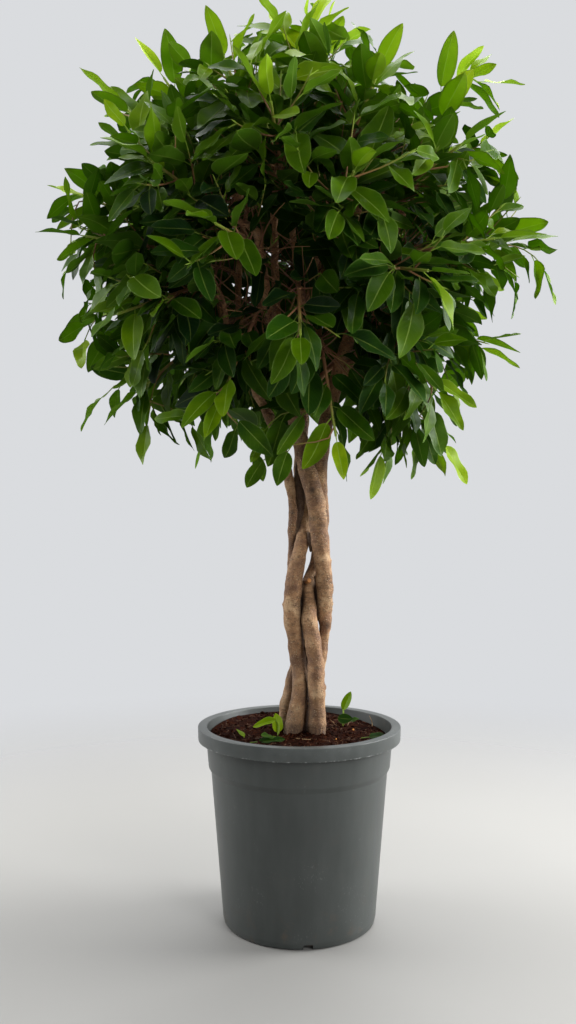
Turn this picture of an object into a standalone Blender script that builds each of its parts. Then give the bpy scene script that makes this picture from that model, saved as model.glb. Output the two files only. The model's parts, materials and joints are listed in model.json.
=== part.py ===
# Potted ficus: four stems braided into one trunk, a round leafy crown, a grey nursery pot.
# Metres, +Z up. The origin is the middle of the pot's underside, and -Y is the front.
import math
import random

import bmesh
import bpy
from mathutils import Quaternion, Vector, noise
from mathutils.bvhtree import BVHTree

CM = 0.01
UP = Vector((0, 0, 1))
GAP = 0.0003            # clearance between pieces that touch

# Pot: a turned shell with a turned-down rim, a step under it and four drain notches
POT_HEIGHT = 0.295
RIM_RADIUS = 0.155
RIM_DROP = 0.020
LIP_RADIUS = 0.141
POT_WALL = 0.0025
POT_FLOOR = 0.004
NECK_RADIUS = 0.1435    # wall under the rim
STEP_TOP = 0.2345
STEP_TOP_RADIUS = 0.1385
STEP_FOOT = 0.2270
STEP_FOOT_RADIUS = 0.1345
FOOT_HEIGHT = 0.010     # where the wall turns in to the underside
FOOT_RADIUS = 0.1165
FOOT_TURN = 0.006
EDGE = 0.0012           # rounding of the lip's edges
POT_STEPS = 42
NOTCHES = 4
NOTCH_SIZE = (0.024, 0.014, 0.016)
NOTCH_TURN = math.radians(-84.3)

# Soil: peat to just under the rim, a little higher round the trunk
SOIL_LEVEL = 0.2745
SOIL_MOUND = 0.0075
SOIL_LUMP = 0.0028      # height of the seeded lumps
LUMP_SCALE = 45         # lumps to the metre
SOIL_STEPS = 22
SOIL_RINGS = (0.030, 0.060, 0.088, 0.114)

# Stems: centre line and radius in centimetres, from the foot in the soil up into the crown.
# Forks leave the stem at the point that they start from.
STEMS = {
    "stem_right": (
        [(2.60, -1.90, 23.5, 1.35), (2.62, -2.00, 31, 1.32), (2.50, -2.10, 39, 1.27),
         (2.00, -1.95, 42.6, 1.22), (1.52, -1.50, 45.6, 1.18), (1.50, -0.30, 48.6, 1.04),
         (1.62, 0.90, 51.3, 1.00), (2.60, 1.65, 54.2, 1.00), (3.40, 1.60, 60, 1.12),
         (3.25, 1.00, 66.5, 1.12), (3.65, 0.45, 73, 1.12), (5.05, 0.20, 79.3, 1.12),
         (6.75, 0, 86.0, 1.05), (8.6, -0.5, 91.2, 0.95), (12.5, -2, 98.9, 0.75), (15.5, -3.5, 106.7, 0.55)],
        [[(6.75, 0, 86.0, 0.8), (8.6, 3, 94.6, 0.7), (8.4, 4.5, 104.9, 0.58), (6.5, 3.5, 114.4, 0.46)],
         [(5.6, 0.1, 81.7, 0.62), (8.5, -2.2, 85.5, 0.52), (11.5, -4.3, 88, 0.42)]]),
    "stem_back": (
        [(-1.30, -1.75, 23.5, 1.48), (-1.05, -1.62, 28.5, 1.42), (-0.25, -1.25, 32.2, 1.28),
         (0.15, -0.65, 36.5, 1.20), (-0.25, -0.42, 40, 1.20), (-1.03, -0.70, 46, 1.36),
         (-0.85, -1.05, 51, 1.33), (-0.15, -1.08, 54.9, 1.20), (0.95, 0.60, 59.5, 0.98),
         (0.80, 1.55, 62.5, 0.95), (0.15, 2.60, 67, 0.93), (0.60, 3.80, 76, 0.93), (1.8, 6.5, 84.3, 0.88),
         (3.2, 10.5, 92.9, 0.75), (4, 14.5, 102.4, 0.55)],
        [[(1.2, 5.1, 80.4, 0.66), (-3, 9, 88.6, 0.58), (-6.5, 13, 97.2, 0.46)],
         [(1.8, 6.5, 84.3, 0.66), (0.8, 7.5, 94.6, 0.6), (-0.8, 7, 105.8, 0.52), (-1.5, 5, 116.1, 0.42)],
         [(1.35, 5.4, 81.7, 0.55), (5.5, 8, 86, 0.46), (8.5, 10, 89, 0.4)]]),
    "stem_front": (
        [(2.60, 1.45, 23.5, 1.25), (2.72, 1.35, 31, 1.22), (2.85, 1.00, 37, 1.05), (3.40, 0.60, 41, 1.00),
         (4.00, 0.28, 44.4, 0.90), (3.85, 0.00, 47.3, 1.25), (3.80, -1.00, 51.5, 1.25),
         (3.20, -1.50, 57, 1.36), (2.50, -1.85, 63.6, 1.40), (0.80, -1.68, 70, 1.24),
         (-0.50, -1.55, 76, 1.14), (-2.2, -2.2, 83.4, 1.05), (-4.6, -5, 92.0, 0.86),
         (-6, -9.5, 101.5, 0.6)],
        [[(-2.2, -2.2, 83.4, 0.72), (0.9, -5.8, 92.0, 0.66), (3, -9, 101.5, 0.54), (3.6, -10, 110.1, 0.44)],
         [(-1.2, -1.75, 79, 0.60), (0.8, -5.5, 83, 0.5), (2.2, -9, 86, 0.42)],
         [(-3.2, -3.2, 86.9, 0.7), (-3.6, -3.2, 96.3, 0.62), (-3.8, -2.6, 106.7, 0.52),
          (-4, -3.4, 116.1, 0.42)]]),
    "stem_left": (
        [(-2.30, 1.20, 23.5, 1.10), (-2.10, 1.20, 29.5, 1.09), (-1.50, 1.50, 34, 1.05),
         (-0.30, 2.20, 38.5, 1.02), (0.30, 2.30, 42, 1.00), (-0.15, 2.20, 45.5, 1.00),
         (-0.85, 1.80, 50, 0.96), (-0.85, 1.55, 56.5, 0.88), (-0.88, 0.95, 59.5, 0.82),
         (-1.05, 0.35, 63.5, 0.74), (-2.15, -0.15, 70, 0.72), (-4.2, 0.50, 76, 0.74),
         (-8, 1.5, 83.4, 0.72), (-11.5, 1.8, 92.0, 0.64), (-14.5, 1, 101.5, 0.5)],
        [[(-8, 1.5, 83.4, 0.6), (-9.5, 4.8, 92.9, 0.54), (-9.5, 7, 104.1, 0.46), (-8, 6.5, 112.7, 0.4)],
         [(-5.6, 0.85, 78.8, 0.52), (-8.8, -2.4, 83.5, 0.46), (-11, -5.5, 87.5, 0.4)]]),
}
STEM_RING = 0.037       # spacing of the rings along a stem
FORK_RING = 0.070       # and along a fork
STEM_SIDES = 8
BRANCH_FLOOR = 0.765    # no branch leaves a stem below this height
BRANCH_RADIUS = 0.0048  # at the stem
TIP_RADIUS = 0.0030     # where a leafy shoot takes over
BRANCH_PIECES = 2       # of its bend, before a short straight end
BRANCH_END = 0.020
BRANCH_PULL = 0.38      # how far a branch keeps each end's direction, against its length
BRANCH_BACK = 0.55      # how far below its shoot a branch leaves, against their distance

# Crown: leafy shoots on an even spiral of directions round the crown's middle
CROWN_CENTRE = Vector((-0.003, 0.0, 1.020))
CROWN_REACH = Vector((0.390, 0.380, 0.380))
# Its outline from the front: degrees from +X up over the top, and the share of the reach there
CROWN_OUTLINE = ((0, 0.90), (20, 0.96), (32, 0.88), (42, 0.94), (60, 0.86), (74, 0.97), (92, 1.03), (108, 0.97),
                 (128, 0.93), (146, 0.99), (182, 0.96), (216, 1.01), (230, 0.97), (242, 0.86), (268, 0.86),
                 (286, 0.98), (300, 1.03), (322, 0.94), (340, 0.94), (360, 0.90))
SHOOTS = 45
CROWN_LOW = 0.88        # sine of the lowest direction below the middle
SHOOT_START = 0.51      # share of the crown's reach where the leafy shoot starts
SHOOT_END = 0.82        # and where its twig ends
START_DRIFT = 0.03      # seeded, either way
END_DRIFT = 0.04
SHOOT_LIFT = 0.14       # how much a shoot turns up from straight outwards
LOW_FROM = 0.20         # sine below the middle from where shoots start to hang
LOW_HANG = 0.065
# Sprigs that stand out of the round: where their furthest leaf ends
SPRIG_TIPS = [(-0.265, -0.02, 1.340), (0.297, -0.03, 1.324), (0.397, -0.02, 1.016), (-0.399, -0.03, 1.094),
              (-0.294, -0.05, 0.750), (0.225, -0.06, 0.675), (0.343, 0.02, 0.836), (0.05, -0.03, 1.405)]
SPRIG_TWIG = 0.120
TWIG_RADIUS = 0.0026
TWIG_TIP_RADIUS = 0.0018
LEAVES = 8
FIRST_LEAF = 0.14       # share of the twig below its first leaf
GOLDEN_TURN = math.radians(137.508)
SEED = 71

# Leaf: a folded blade on a three-sided stalk
LEAF_LENGTH = (0.064, 0.080)    # of the blade
LEAF_WIDTH = (0.026, 0.033)
LEAF_THICKNESS = 0.0008
BLADE_ROWS = ((0.36, 1.0), (0.70, 0.76))    # share of the length, share of the width
LEAF_FOLD = 0.26        # how far the edges stand above the midrib, against the half width
LEAF_ARCH = 0.05        # how far the tip hangs, against the length
STALK_LENGTH = 0.013
STALK_RADIUS = 0.0008
STALK_LEAN = math.radians(55)
ROOM = 0.0011           # space kept round a leaf
TRIES = 4               # quarter turns round the twig that a leaf may take to find room
LAST_LEAF = (0.88, 0.80)        # length and width of the twig's last leaf, against the rest
LAST_SHARE = 0.97       # of the twig, where it grows
NEXT_SHARE = 0.90       # and where the one before it grows

# How a leaf lies
LEAF_SPREAD = (34, 34)  # degrees from the twig: at its tip, and more at its foot
SPREAD_DRIFT = 5
LEAF_DROOP = ((0.45, 0.12), (-0.25, 0.30), (-1, 0.50))  # from this height in the crown: how far it hangs
DROOP_DRIFT = (0.6, 1.2)
LEAF_FACES = (0.9, 0.75, 0.25)  # its upper side turns outwards, up and away from the twig
LEAF_ROLL = 28

# Young shoots in the soil: foot and height, then for each leaf its share of the stem, compass turn,
# rise and roll in degrees, and the blade's length and width
YOUNG_DEPTH = 0.012
YOUNG_TILT = 0.002
YOUNG_RADIUS = 0.0018
YOUNG_SHOOTS = {
    "young_shoot_left": ((-0.033, -0.022), 0.011, [
        (0.95, 110, 66, 0, 0.026, 0.016), (0.88, 174, 20, 10, 0.038, 0.016), (0.78, 232, 14, 0, 0.026, 0.013)]),
    "young_shoot_right": ((0.070, 0.058), 0.023, [
        (0.96, 40, 66, 0, 0.031, 0.018), (0.86, 204, 0, 10, 0.026, 0.016), (0.66, 330, 24, 0, 0.020, 0.012)]),
}
# Dropped leaves: where the stalk ends, compass turn, blade length and width
FALLEN_LEAVES = {
    "fallen_leaf_right": ((0.094, -0.014), 12, 0.030, 0.014),
    "fallen_leaf_front": ((-0.074, -0.046), 2, 0.040, 0.017),
}


def clear_scene():
    for obj in list(bpy.data.objects):
        bpy.data.objects.remove(obj)


def collection(name):
    group = bpy.data.collections.new(name)
    bpy.context.scene.collection.children.link(group)
    return group


def material(name, colour, roughness, metallic=0.0):
    made = bpy.data.materials.new(name)
    made.use_nodes = True
    shader = made.node_tree.nodes["Principled BSDF"]
    shader.inputs["Base Color"].default_value = (*colour, 1)
    shader.inputs["Roughness"].default_value = roughness
    shader.inputs["Metallic"].default_value = metallic
    made.diffuse_color = (*colour, 1)
    return made


def add_object(name, data, group, finish=None):
    obj = bpy.data.objects.new(name, data)
    group.objects.link(obj)
    if finish:
        data.materials.clear()
        data.materials.append(finish)
    return obj


def settled(obj):
    # The object's mesh with its modifiers applied, in place of the object
    bpy.context.view_layer.update()
    mesh = bpy.data.meshes.new_from_object(obj.evaluated_get(bpy.context.evaluated_depsgraph_get()))
    mesh.transform(obj.matrix_world)
    bpy.data.objects.remove(obj)
    return mesh


def turned(name, profile, steps, group):
    # A solid of revolution about Z; the profile ends on the axis at both ends
    mesh = bpy.data.meshes.new(name)
    points = [(radius, 0, height) for radius, height in profile]
    mesh.from_pydata(points, [(i, i + 1) for i in range(len(points) - 1)], [])
    obj = add_object(name, mesh, group)
    screw = obj.modifiers.new("turn", "SCREW")
    screw.steps = screw.render_steps = steps
    screw.use_merge_vertices = True
    screw.merge_threshold = 0.00001
    return obj


def tube_mesh(line, sides, swell=0.0, twist="MINIMUM"):
    # A round rod along a line of (place, radius), with flat ends
    curve = bpy.data.curves.new("rod", "CURVE")
    curve.dimensions = "3D"
    curve.bevel_depth = 1.0
    curve.bevel_resolution = (sides - 4) // 2
    curve.use_fill_caps = True
    curve.twist_mode = twist
    spline = curve.splines.new("POLY")
    spline.points.add(len(line) - 1)
    for point, (place, radius) in zip(spline.points, line):
        point.co = (*place, 1)
        point.radius = radius + swell
    obj = bpy.data.objects.new("rod", curve)
    bpy.context.scene.collection.objects.link(obj)
    mesh = settled(obj)
    bpy.data.curves.remove(curve)
    bm = bmesh.new()
    bm.from_mesh(mesh)
    bmesh.ops.remove_doubles(bm, verts=bm.verts, dist=0.00001)
    bmesh.ops.recalc_face_normals(bm, faces=bm.faces)
    bm.to_mesh(mesh)
    bm.free()
    return mesh


def fused(name, body, pieces, group, finish):
    # One Boolean union of the body with all its pieces
    obj = add_object(name, body, group, finish)
    if not pieces:
        return obj
    repeats = collection(name + "_pieces")
    for piece in pieces:
        add_object("piece", piece, repeats, finish)
    join = obj.modifiers.new("join", "BOOLEAN")
    join.operation = "UNION"
    join.operand_type = "COLLECTION"
    join.collection = repeats
    mesh = settled(obj)
    for piece in list(repeats.objects):
        bpy.data.objects.remove(piece)
    bpy.data.collections.remove(repeats)
    return add_object(name, mesh, group, finish)


def smooth_line(points, spacing):
    # A smooth curve through points of (x, y, z, radius) in centimetres, sampled along its length
    places = [Vector(point[:3]) * CM for point in points]
    radii = [point[3] * CM for point in points]
    line = []
    for i in range(len(places) - 1):
        before = places[max(i - 1, 0)]
        start, end = places[i], places[i + 1]
        after = places[min(i + 2, len(places) - 1)]
        count = max(1, round((end - start).length / spacing))
        for k in range(count):
            t = k / count
            place = 0.5 * ((2 * start) + (end - before) * t
                           + (2 * before - 5 * start + 4 * end - after) * t * t
                           + (3 * start - before - 3 * end + after) * t ** 3)
            line.append((place, radii[i] + (radii[i + 1] - radii[i]) * t))
    line.append((places[-1], radii[-1]))
    return line


def bend(start, start_dir, end, end_dir, count):
    # Points of a smooth bend between two places that leaves and arrives in the given directions
    pull = (end - start).length * BRANCH_PULL
    a, b = start + start_dir * pull, end - end_dir * pull
    points = []
    for i in range(1, count + 1):
        t = i / count
        s = 1 - t
        points.append(start * s ** 3 + a * 3 * s * s * t + b * 3 * s * t * t + end * t ** 3)
    return points


def outline_share(direction):
    # How far the crown reaches that way: its outline shows where it is seen edge on
    angle = math.degrees(math.atan2(direction.z, direction.x)) % 360
    (low, first), (high, last) = next(pair for pair in zip(CROWN_OUTLINE, CROWN_OUTLINE[1:])
                                      if angle <= pair[1][0])
    share = first + (last - first) * (angle - low) / (high - low)
    return 1 + (share - 1) * (1 - direction.y ** 2)


def crown_point(direction, share):
    share *= outline_share(direction)
    return CROWN_CENTRE + Vector(d * r for d, r in zip(direction, CROWN_REACH)) * share


def shoot_plans():
    # Where each leafy shoot starts and ends, and which way it sets out
    plans = []
    for index in range(SHOOTS):
        draw = random.Random(SEED + index)
        height = 1 - (index + 0.5) / SHOOTS * (1 + CROWN_LOW)
        turn = index * GOLDEN_TURN
        flat = math.sqrt(1 - height * height)
        direction = Vector((math.cos(turn) * flat, math.sin(turn) * flat, height))
        low = max(0.0, -height - LOW_FROM)
        start = crown_point(direction, SHOOT_START + draw.uniform(-START_DRIFT, START_DRIFT))
        end = crown_point(direction, SHOOT_END + draw.uniform(-END_DRIFT, END_DRIFT)) - UP * LOW_HANG * low
        plans.append({"index": index, "start": start, "end": end, "direction": direction,
                      "lift": SHOOT_LIFT * (1 - 2 * low)})
    free = list(plans)
    for tip in SPRIG_TIPS:
        out = Vector(tip) - CROWN_CENTRE
        way = out.normalized()
        sprig = min(free, key=lambda plan: plan["direction"].angle(way))
        free.remove(sprig)
        end = CROWN_CENTRE + way * (out.length - LEAF_LENGTH[1])
        sprig.update(direction=way, end=end, start=end - way * SPRIG_TWIG)
    for plan in plans:
        plan["heading"] = ((plan["end"] - plan["start"]).normalized() + UP * plan["lift"]).normalized()
    return plans


def grow_branches(plans):
    # Lines of wood for each stem: its own line and forks, then a branch to every leafy shoot
    wood = {name: [smooth_line(route, STEM_RING)] + [smooth_line(fork, FORK_RING) for fork in forks]
            for name, (route, forks) in STEMS.items()}
    limbs = [(name, number) for name, lines in wood.items() for number in range(len(lines))]
    waiting = set(range(len(plans)))
    for name, number in limbs:
        line = wood[name][number]
        end = line[-1][0]
        nearest = min(waiting, key=lambda i: (plans[i]["start"] - end).length)
        waiting.remove(nearest)
        plans[nearest]["limb"] = (name, number, None)
    for i in sorted(waiting):
        start = plans[i]["start"]
        choices = [((start - place).length, name, number, k)
                   for name, number in limbs
                   for k, (place, radius) in enumerate(wood[name][number])
                   if place.z > BRANCH_FLOOR and k > 0]
        distance, name, number, k = min(choices)
        line = wood[name][number]
        back = distance * BRANCH_BACK
        while k > 1 and line[k - 1][0].z > BRANCH_FLOOR and back > 0:
            back -= (line[k][0] - line[k - 1][0]).length
            k -= 1
        plans[i]["limb"] = (name, number, k)
    for plan in plans:
        name, number, k = plan["limb"]
        line = wood[name][number]
        at_end = k is None
        k = len(line) - 1 if at_end else k
        place, thick = line[k]
        along = (place - line[k - 1][0]).normalized()
        base = thick if at_end else min(BRANCH_RADIUS, thick * 0.8)
        turned_in = plan["start"] - plan["heading"] * BRANCH_END
        points = bend(place, along, turned_in, plan["heading"], BRANCH_PIECES) + [plan["start"]]
        rod = [(point, base + (TIP_RADIUS - base) * (j + 1) / len(points)) for j, point in enumerate(points)]
        plan["rod"] = rod if at_end else [(place, base)] + rod
    for plan in plans:
        name, number, k = plan["limb"]
        if k is None:
            wood[name][number] = wood[name][number] + plan["rod"]
        else:
            wood[name].append(plan["rod"])
    return wood


def twig_line(plan):
    # The leafy shoot's twig goes straight on where its branch ends
    start = plan["start"] + plan["heading"] * GAP
    end = start + plan["heading"] * (plan["end"] - plan["start"]).length
    return [(start, TWIG_RADIUS), (end, TWIG_TIP_RADIUS)]


def along_line(line, share):
    # Place and direction at a share of a line's length
    lengths = [(b[0] - a[0]).length for a, b in zip(line, line[1:])]
    left = share * sum(lengths)
    for (a, b), length in zip(zip(line, line[1:]), lengths):
        if left <= length or b is line[-1]:
            way = (b[0] - a[0]).normalized()
            return a[0] + way * left, way
        left -= length


def leaf_frame(plan, line, index, extra_turn):
    # Where a leaf of the shoot sits and how it lies: alternate leaves, one golden turn apart
    draw = random.Random(1000 * SEED + 100 * plan["index"] + index)
    last = index == LEAVES - 1
    share = LAST_SHARE if last else FIRST_LEAF + (NEXT_SHARE - FIRST_LEAF) * index / (LEAVES - 2)
    place, way = along_line(line, share)
    quarter = round((plan["index"] + index * GOLDEN_TURN) / (math.pi / 2)) + extra_turn
    side = Quaternion(way, math.pi / 4 + quarter * math.pi / 2) @ way.cross(UP).normalized()
    spread = LEAF_SPREAD[0] + LEAF_SPREAD[1] * (1 - share)
    spread = 0 if last else math.radians(spread + draw.uniform(-SPREAD_DRIFT, SPREAD_DRIFT))
    lean = 0 if last else max(spread, STALK_LEAN)
    stalk = way * math.cos(lean) + side * math.sin(lean)
    droop = 0 if last else next(hang for height, hang in LEAF_DROOP if plan["direction"].z > height)
    axis = way * math.cos(spread) + side * math.sin(spread) - UP * droop * draw.uniform(*DROOP_DRIFT)
    axis.normalize()
    outwards, upwards, sideways = LEAF_FACES
    face = plan["direction"] * outwards + UP * upwards + side * sideways
    face -= axis * face.dot(axis)
    face = Quaternion(axis, math.radians(draw.uniform(-LEAF_ROLL, LEAF_ROLL))) @ face.normalized()
    size = draw.uniform(0, 1)
    length = LEAF_LENGTH[0] + (LEAF_LENGTH[1] - LEAF_LENGTH[0]) * size
    width = LEAF_WIDTH[0] + (LEAF_WIDTH[1] - LEAF_WIDTH[0]) * size
    if last:
        length *= LAST_LEAF[0]
        width *= LAST_LEAF[1]
    return place, stalk, axis, face, length, width


def leaf_mesh(place, stalk, axis, face, length, width, room=0.0):
    # A loft from the three-sided stalk to the folded blade and its tip
    half = width / 2 + room
    thick = LEAF_THICKNESS + 2 * room
    base = place + stalk * STALK_LENGTH

    def section(middle, way):
        across = way.cross(face).normalized() * (STALK_RADIUS + room)
        up = across.cross(way) * 0.5
        return [middle - across + up, middle + across + up, middle - 2 * up]

    def at(share, sideways, up):
        return base + axis * share * length + axis.cross(face) * sideways + face * (up + room)

    bm = bmesh.new()
    root = [bm.verts.new(p) for p in section(place + stalk * room * 4, stalk)]
    neck = [bm.verts.new(p) for p in section(base, stalk)]
    rows = []
    for share, part in BLADE_ROWS:
        rise = half * part * LEAF_FOLD
        rows.append([bm.verts.new(at(share, side * half * part, rise - down))
                     for side in (-1, 1) for down in (0, thick)])
    tip = bm.verts.new(at(1, 0, -LEAF_ARCH * length) + axis * 2 * room)
    bm.faces.new(root)
    for i in range(3):
        j = (i + 1) % 3
        bm.faces.new((root[i], root[j], neck[j], neck[i]))
    wide, narrow = rows
    for side, edge in ((0, neck[0]), (2, neck[1])):
        bm.faces.new((edge, wide[side], narrow[side]))
        bm.faces.new((edge, narrow[side], tip))
        bm.faces.new((neck[2], wide[side + 1], narrow[side + 1]))
        bm.faces.new((neck[2], narrow[side + 1], tip))
        bm.faces.new((edge, wide[side], wide[side + 1]))
        bm.faces.new((edge, wide[side + 1], neck[2]))
        bm.faces.new((wide[side], narrow[side], narrow[side + 1]))
        bm.faces.new((wide[side], narrow[side + 1], wide[side + 1]))
        bm.faces.new((narrow[side], tip, narrow[side + 1]))
    bm.faces.new((neck[0], tip, neck[1]))
    bmesh.ops.recalc_face_normals(bm, faces=bm.faces)
    mesh = bpy.data.meshes.new("leaf")
    bm.to_mesh(mesh)
    bm.free()
    return mesh


def tree_of(mesh):
    bm = bmesh.new()
    bm.from_mesh(mesh)
    tree = BVHTree.FromBMesh(bm)
    bm.free()
    return tree


def make_pot(group, cutters, finish):
    wall = [(NECK_RADIUS, POT_HEIGHT - 2 * POT_WALL), (STEP_TOP_RADIUS, STEP_TOP),
            (STEP_FOOT_RADIUS, STEP_FOOT), (FOOT_RADIUS, FOOT_HEIGHT)]
    inside = [(radius - POT_WALL, height) for radius, height in reversed(wall)]
    profile = [(0, POT_FLOOR), (FOOT_RADIUS - FOOT_TURN, POT_FLOOR)] + inside[:-1]
    profile += [(LIP_RADIUS, POT_HEIGHT - EDGE), (LIP_RADIUS + EDGE, POT_HEIGHT),
                (RIM_RADIUS - EDGE, POT_HEIGHT), (RIM_RADIUS, POT_HEIGHT - EDGE),
                (RIM_RADIUS - EDGE / 2, POT_HEIGHT - RIM_DROP),
                (RIM_RADIUS - EDGE / 2 - POT_WALL, POT_HEIGHT - RIM_DROP),
                (RIM_RADIUS - POT_WALL, POT_HEIGHT - 2 * POT_WALL)]
    profile += wall
    profile += [(FOOT_RADIUS - FOOT_TURN * 0.3, FOOT_TURN * 0.3), (FOOT_RADIUS - FOOT_TURN, 0), (0, 0)]
    pot = turned("pot", profile, POT_STEPS, group)
    pot.data.materials.append(finish)
    for i in range(NOTCHES):
        bpy.ops.mesh.primitive_cube_add(size=1, scale=NOTCH_SIZE)
        notch = bpy.context.object
        notch.name = f"notch_cutter_{i}"
        bpy.ops.object.transform_apply(location=False, rotation=False, scale=True)
        turn = NOTCH_TURN + i * math.tau / NOTCHES
        notch.location = (math.cos(turn) * FOOT_RADIUS, math.sin(turn) * FOOT_RADIUS, 0)
        notch.rotation_euler.z = turn
        notch.hide_render = True
        notch.display_type = "WIRE"
        for owner in list(notch.users_collection):
            owner.objects.unlink(notch)
        cutters.objects.link(notch)
        cut = pot.modifiers.new("notch", "BOOLEAN")
        cut.object = notch
        cut.operation = "DIFFERENCE"
    return pot


def soil_mesh(group):
    # The plug of soil, with seeded lumps on its top
    inner = STEP_FOOT_RADIUS - POT_WALL
    slope = (STEP_TOP_RADIUS - STEP_FOOT_RADIUS) / (STEP_TOP - STEP_FOOT)     # of the wall's step
    top_radius = STEP_TOP_RADIUS - POT_WALL + (SOIL_LEVEL - STEP_TOP) * (
        NECK_RADIUS - STEP_TOP_RADIUS) / (POT_HEIGHT - 2 * POT_WALL - STEP_TOP)
    side = [(top_radius, SOIL_LEVEL), (STEP_TOP_RADIUS - POT_WALL, STEP_TOP), (inner, STEP_FOOT),
            (FOOT_RADIUS - POT_WALL, FOOT_HEIGHT), (FOOT_RADIUS - FOOT_TURN, POT_FLOOR)]
    loose = 2 * GAP * (1 + slope)
    profile = [(0, SOIL_LEVEL + SOIL_MOUND)]
    profile += [(ring, SOIL_LEVEL + SOIL_MOUND * math.cos(ring / top_radius * math.pi / 2) ** 2)
                for ring in SOIL_RINGS]
    profile += [(radius - loose, height) for radius, height in side]
    profile[-1] = (profile[-1][0], POT_FLOOR + GAP)
    profile.append((0, POT_FLOOR + GAP))
    mesh = settled(turned("soil", profile, SOIL_STEPS, group))
    for vertex in mesh.vertices:
        place = vertex.co
        if place.z > SOIL_LEVEL - GAP and place.to_2d().length < top_radius - 2 * loose:
            place.z += SOIL_LUMP * noise.noise(place * LUMP_SCALE)
    return mesh


def make_soil(group, holes, finish):
    # The soil has a plain blind hole for each stem and each young shoot
    soil = add_object("soil", soil_mesh(group), group, finish)
    for number, (line, sides) in enumerate(holes):
        top = [item for item in line if item[0].z < SOIL_LEVEL + 0.04]
        deep = (top[0][0] - UP * GAP, top[0][1])
        cutter = add_object(f"hole_cutter_{number}", tube_mesh([deep] + top[1:], sides, 1.5 * GAP), group)
        cut = soil.modifiers.new("hole", "BOOLEAN")
        cut.object = cutter
        cut.operation = "DIFFERENCE"
    mesh = settled(soil)
    for obj in [obj for obj in group.objects if obj.name.startswith("hole_cutter")]:
        bpy.data.objects.remove(obj)
    return add_object("soil", mesh, group, finish)


def young_leaf(spot, turn, rise, length, width, roll=0.0):
    # A leaf at a place, pointing to a compass turn and rising at an angle, both in degrees
    turn, rise = math.radians(turn), math.radians(rise)
    axis = Vector((math.cos(turn) * math.cos(rise), math.sin(turn) * math.cos(rise), math.sin(rise)))
    out = Vector((-math.cos(turn) * math.sin(rise), -math.sin(turn) * math.sin(rise), math.cos(rise)))
    face = Quaternion(axis, math.radians(roll)) @ out
    return spot, axis, axis, face, length, width


def young_shoot_line(foot, height):
    x, y = foot
    low = Vector((x, y, SOIL_LEVEL - YOUNG_DEPTH))
    top = Vector((x + YOUNG_TILT, y, SOIL_LEVEL + height))
    return [(low, YOUNG_RADIUS), ((low + top) / 2, YOUNG_RADIUS), (top, YOUNG_RADIUS * 0.85)]


def make_young_shoots(group, green):
    # Young shoots that stand in the soil at the foot of the trunk
    made = []
    for name, (foot, height, leaves) in YOUNG_SHOOTS.items():
        line = young_shoot_line(foot, height)
        pieces = [leaf_mesh(*young_leaf(along_line(line, share)[0], turn, rise, length, width, roll))
                  for share, turn, rise, roll, length, width in leaves]
        made.append(fused(name, tube_mesh(line, 4), pieces, group, green).data)
    return made


def make_fallen_leaves(group, soil, green):
    # Dropped leaves lie on the soil, lowered until the nearest point is a hair above it
    ground = tree_of(soil.data)
    for name, (spot, turn, length, width) in FALLEN_LEAVES.items():
        start = Vector((*spot, SOIL_LEVEL + 0.03))
        mesh = leaf_mesh(*young_leaf(start, turn, 4, length, width))
        leaf = tree_of(mesh)
        drops = [vertex.co.z - ground.ray_cast(vertex.co, -UP)[0].z for vertex in mesh.vertices]
        for vertex in soil.data.vertices:
            hit = leaf.ray_cast(vertex.co, UP)[0]
            if hit:
                drops.append(hit.z - vertex.co.z)
        for vertex in mesh.vertices:
            vertex.co.z -= min(drops) - GAP
        add_object(name, mesh, group, green)


def make_shoots(plans, solids, group, green):
    # Each leafy shoot is its twig with the leaves fused on, kept clear of everything else
    lines = [twig_line(plan) for plan in plans]
    twigs = [tube_mesh(line, 4, twist="Z_UP") for line in lines]
    trees = [tree_of(mesh) for mesh in solids]
    twig_trees = [tree_of(mesh) for mesh in twigs]
    for index, (plan, line, twig) in enumerate(zip(plans, lines, twigs)):
        others = trees + twig_trees[:index] + twig_trees[index + 1:]
        leaves = []
        for number in range(LEAVES):
            for extra in range(TRIES):
                frame = leaf_frame(plan, line, number, extra)
                probe = leaf_mesh(*frame, room=ROOM)
                probe_tree = tree_of(probe)
                bpy.data.meshes.remove(probe)
                if not any(probe_tree.overlap(tree) for tree in others):
                    leaf = leaf_mesh(*frame)
                    leaves.append(leaf)
                    others.append(tree_of(leaf))
                    break
        shoot = fused(f"leafy_shoot_{index + 1:02d}", twig, leaves, group, green)
        trees.append(tree_of(shoot.data))


def main():
    clear_scene()
    parts = collection("potted_ficus")
    cutters = collection("cutters")
    plastic = material("grey_plastic", (0.105, 0.125, 0.128), 0.45)
    peat = material("peat", (0.045, 0.018, 0.010), 0.95)
    bark = material("bark", (0.270, 0.160, 0.085), 0.75)
    green = material("leaf", (0.045, 0.170, 0.018), 0.35)

    plans = shoot_plans()
    wood = grow_branches(plans)

    make_pot(parts, cutters, plastic)
    holes = [(lines[0], STEM_SIDES) for lines in wood.values()]
    holes += [(young_shoot_line(foot, height), 4) for foot, height, leaves in YOUNG_SHOOTS.values()]
    soil = make_soil(parts, holes, peat)
    make_fallen_leaves(parts, soil, green)
    solids = make_young_shoots(parts, green)
    for name, lines in wood.items():
        trunk = tube_mesh(lines[0], STEM_SIDES)
        limbs = [tube_mesh(line, 6 if line[0][1] > BRANCH_RADIUS else 4) for line in lines[1:]]
        solids.append(fused(name, trunk, limbs, parts, bark).data)
    make_shoots(plans, solids, parts, green)


main()
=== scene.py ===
import json
import math
import random
from functools import partial

import bmesh
import bpy
from mathutils import Matrix, Quaternion, Vector, noise
from mathutils.bvhtree import BVHTree
from mathutils.kdtree import KDTree

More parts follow.
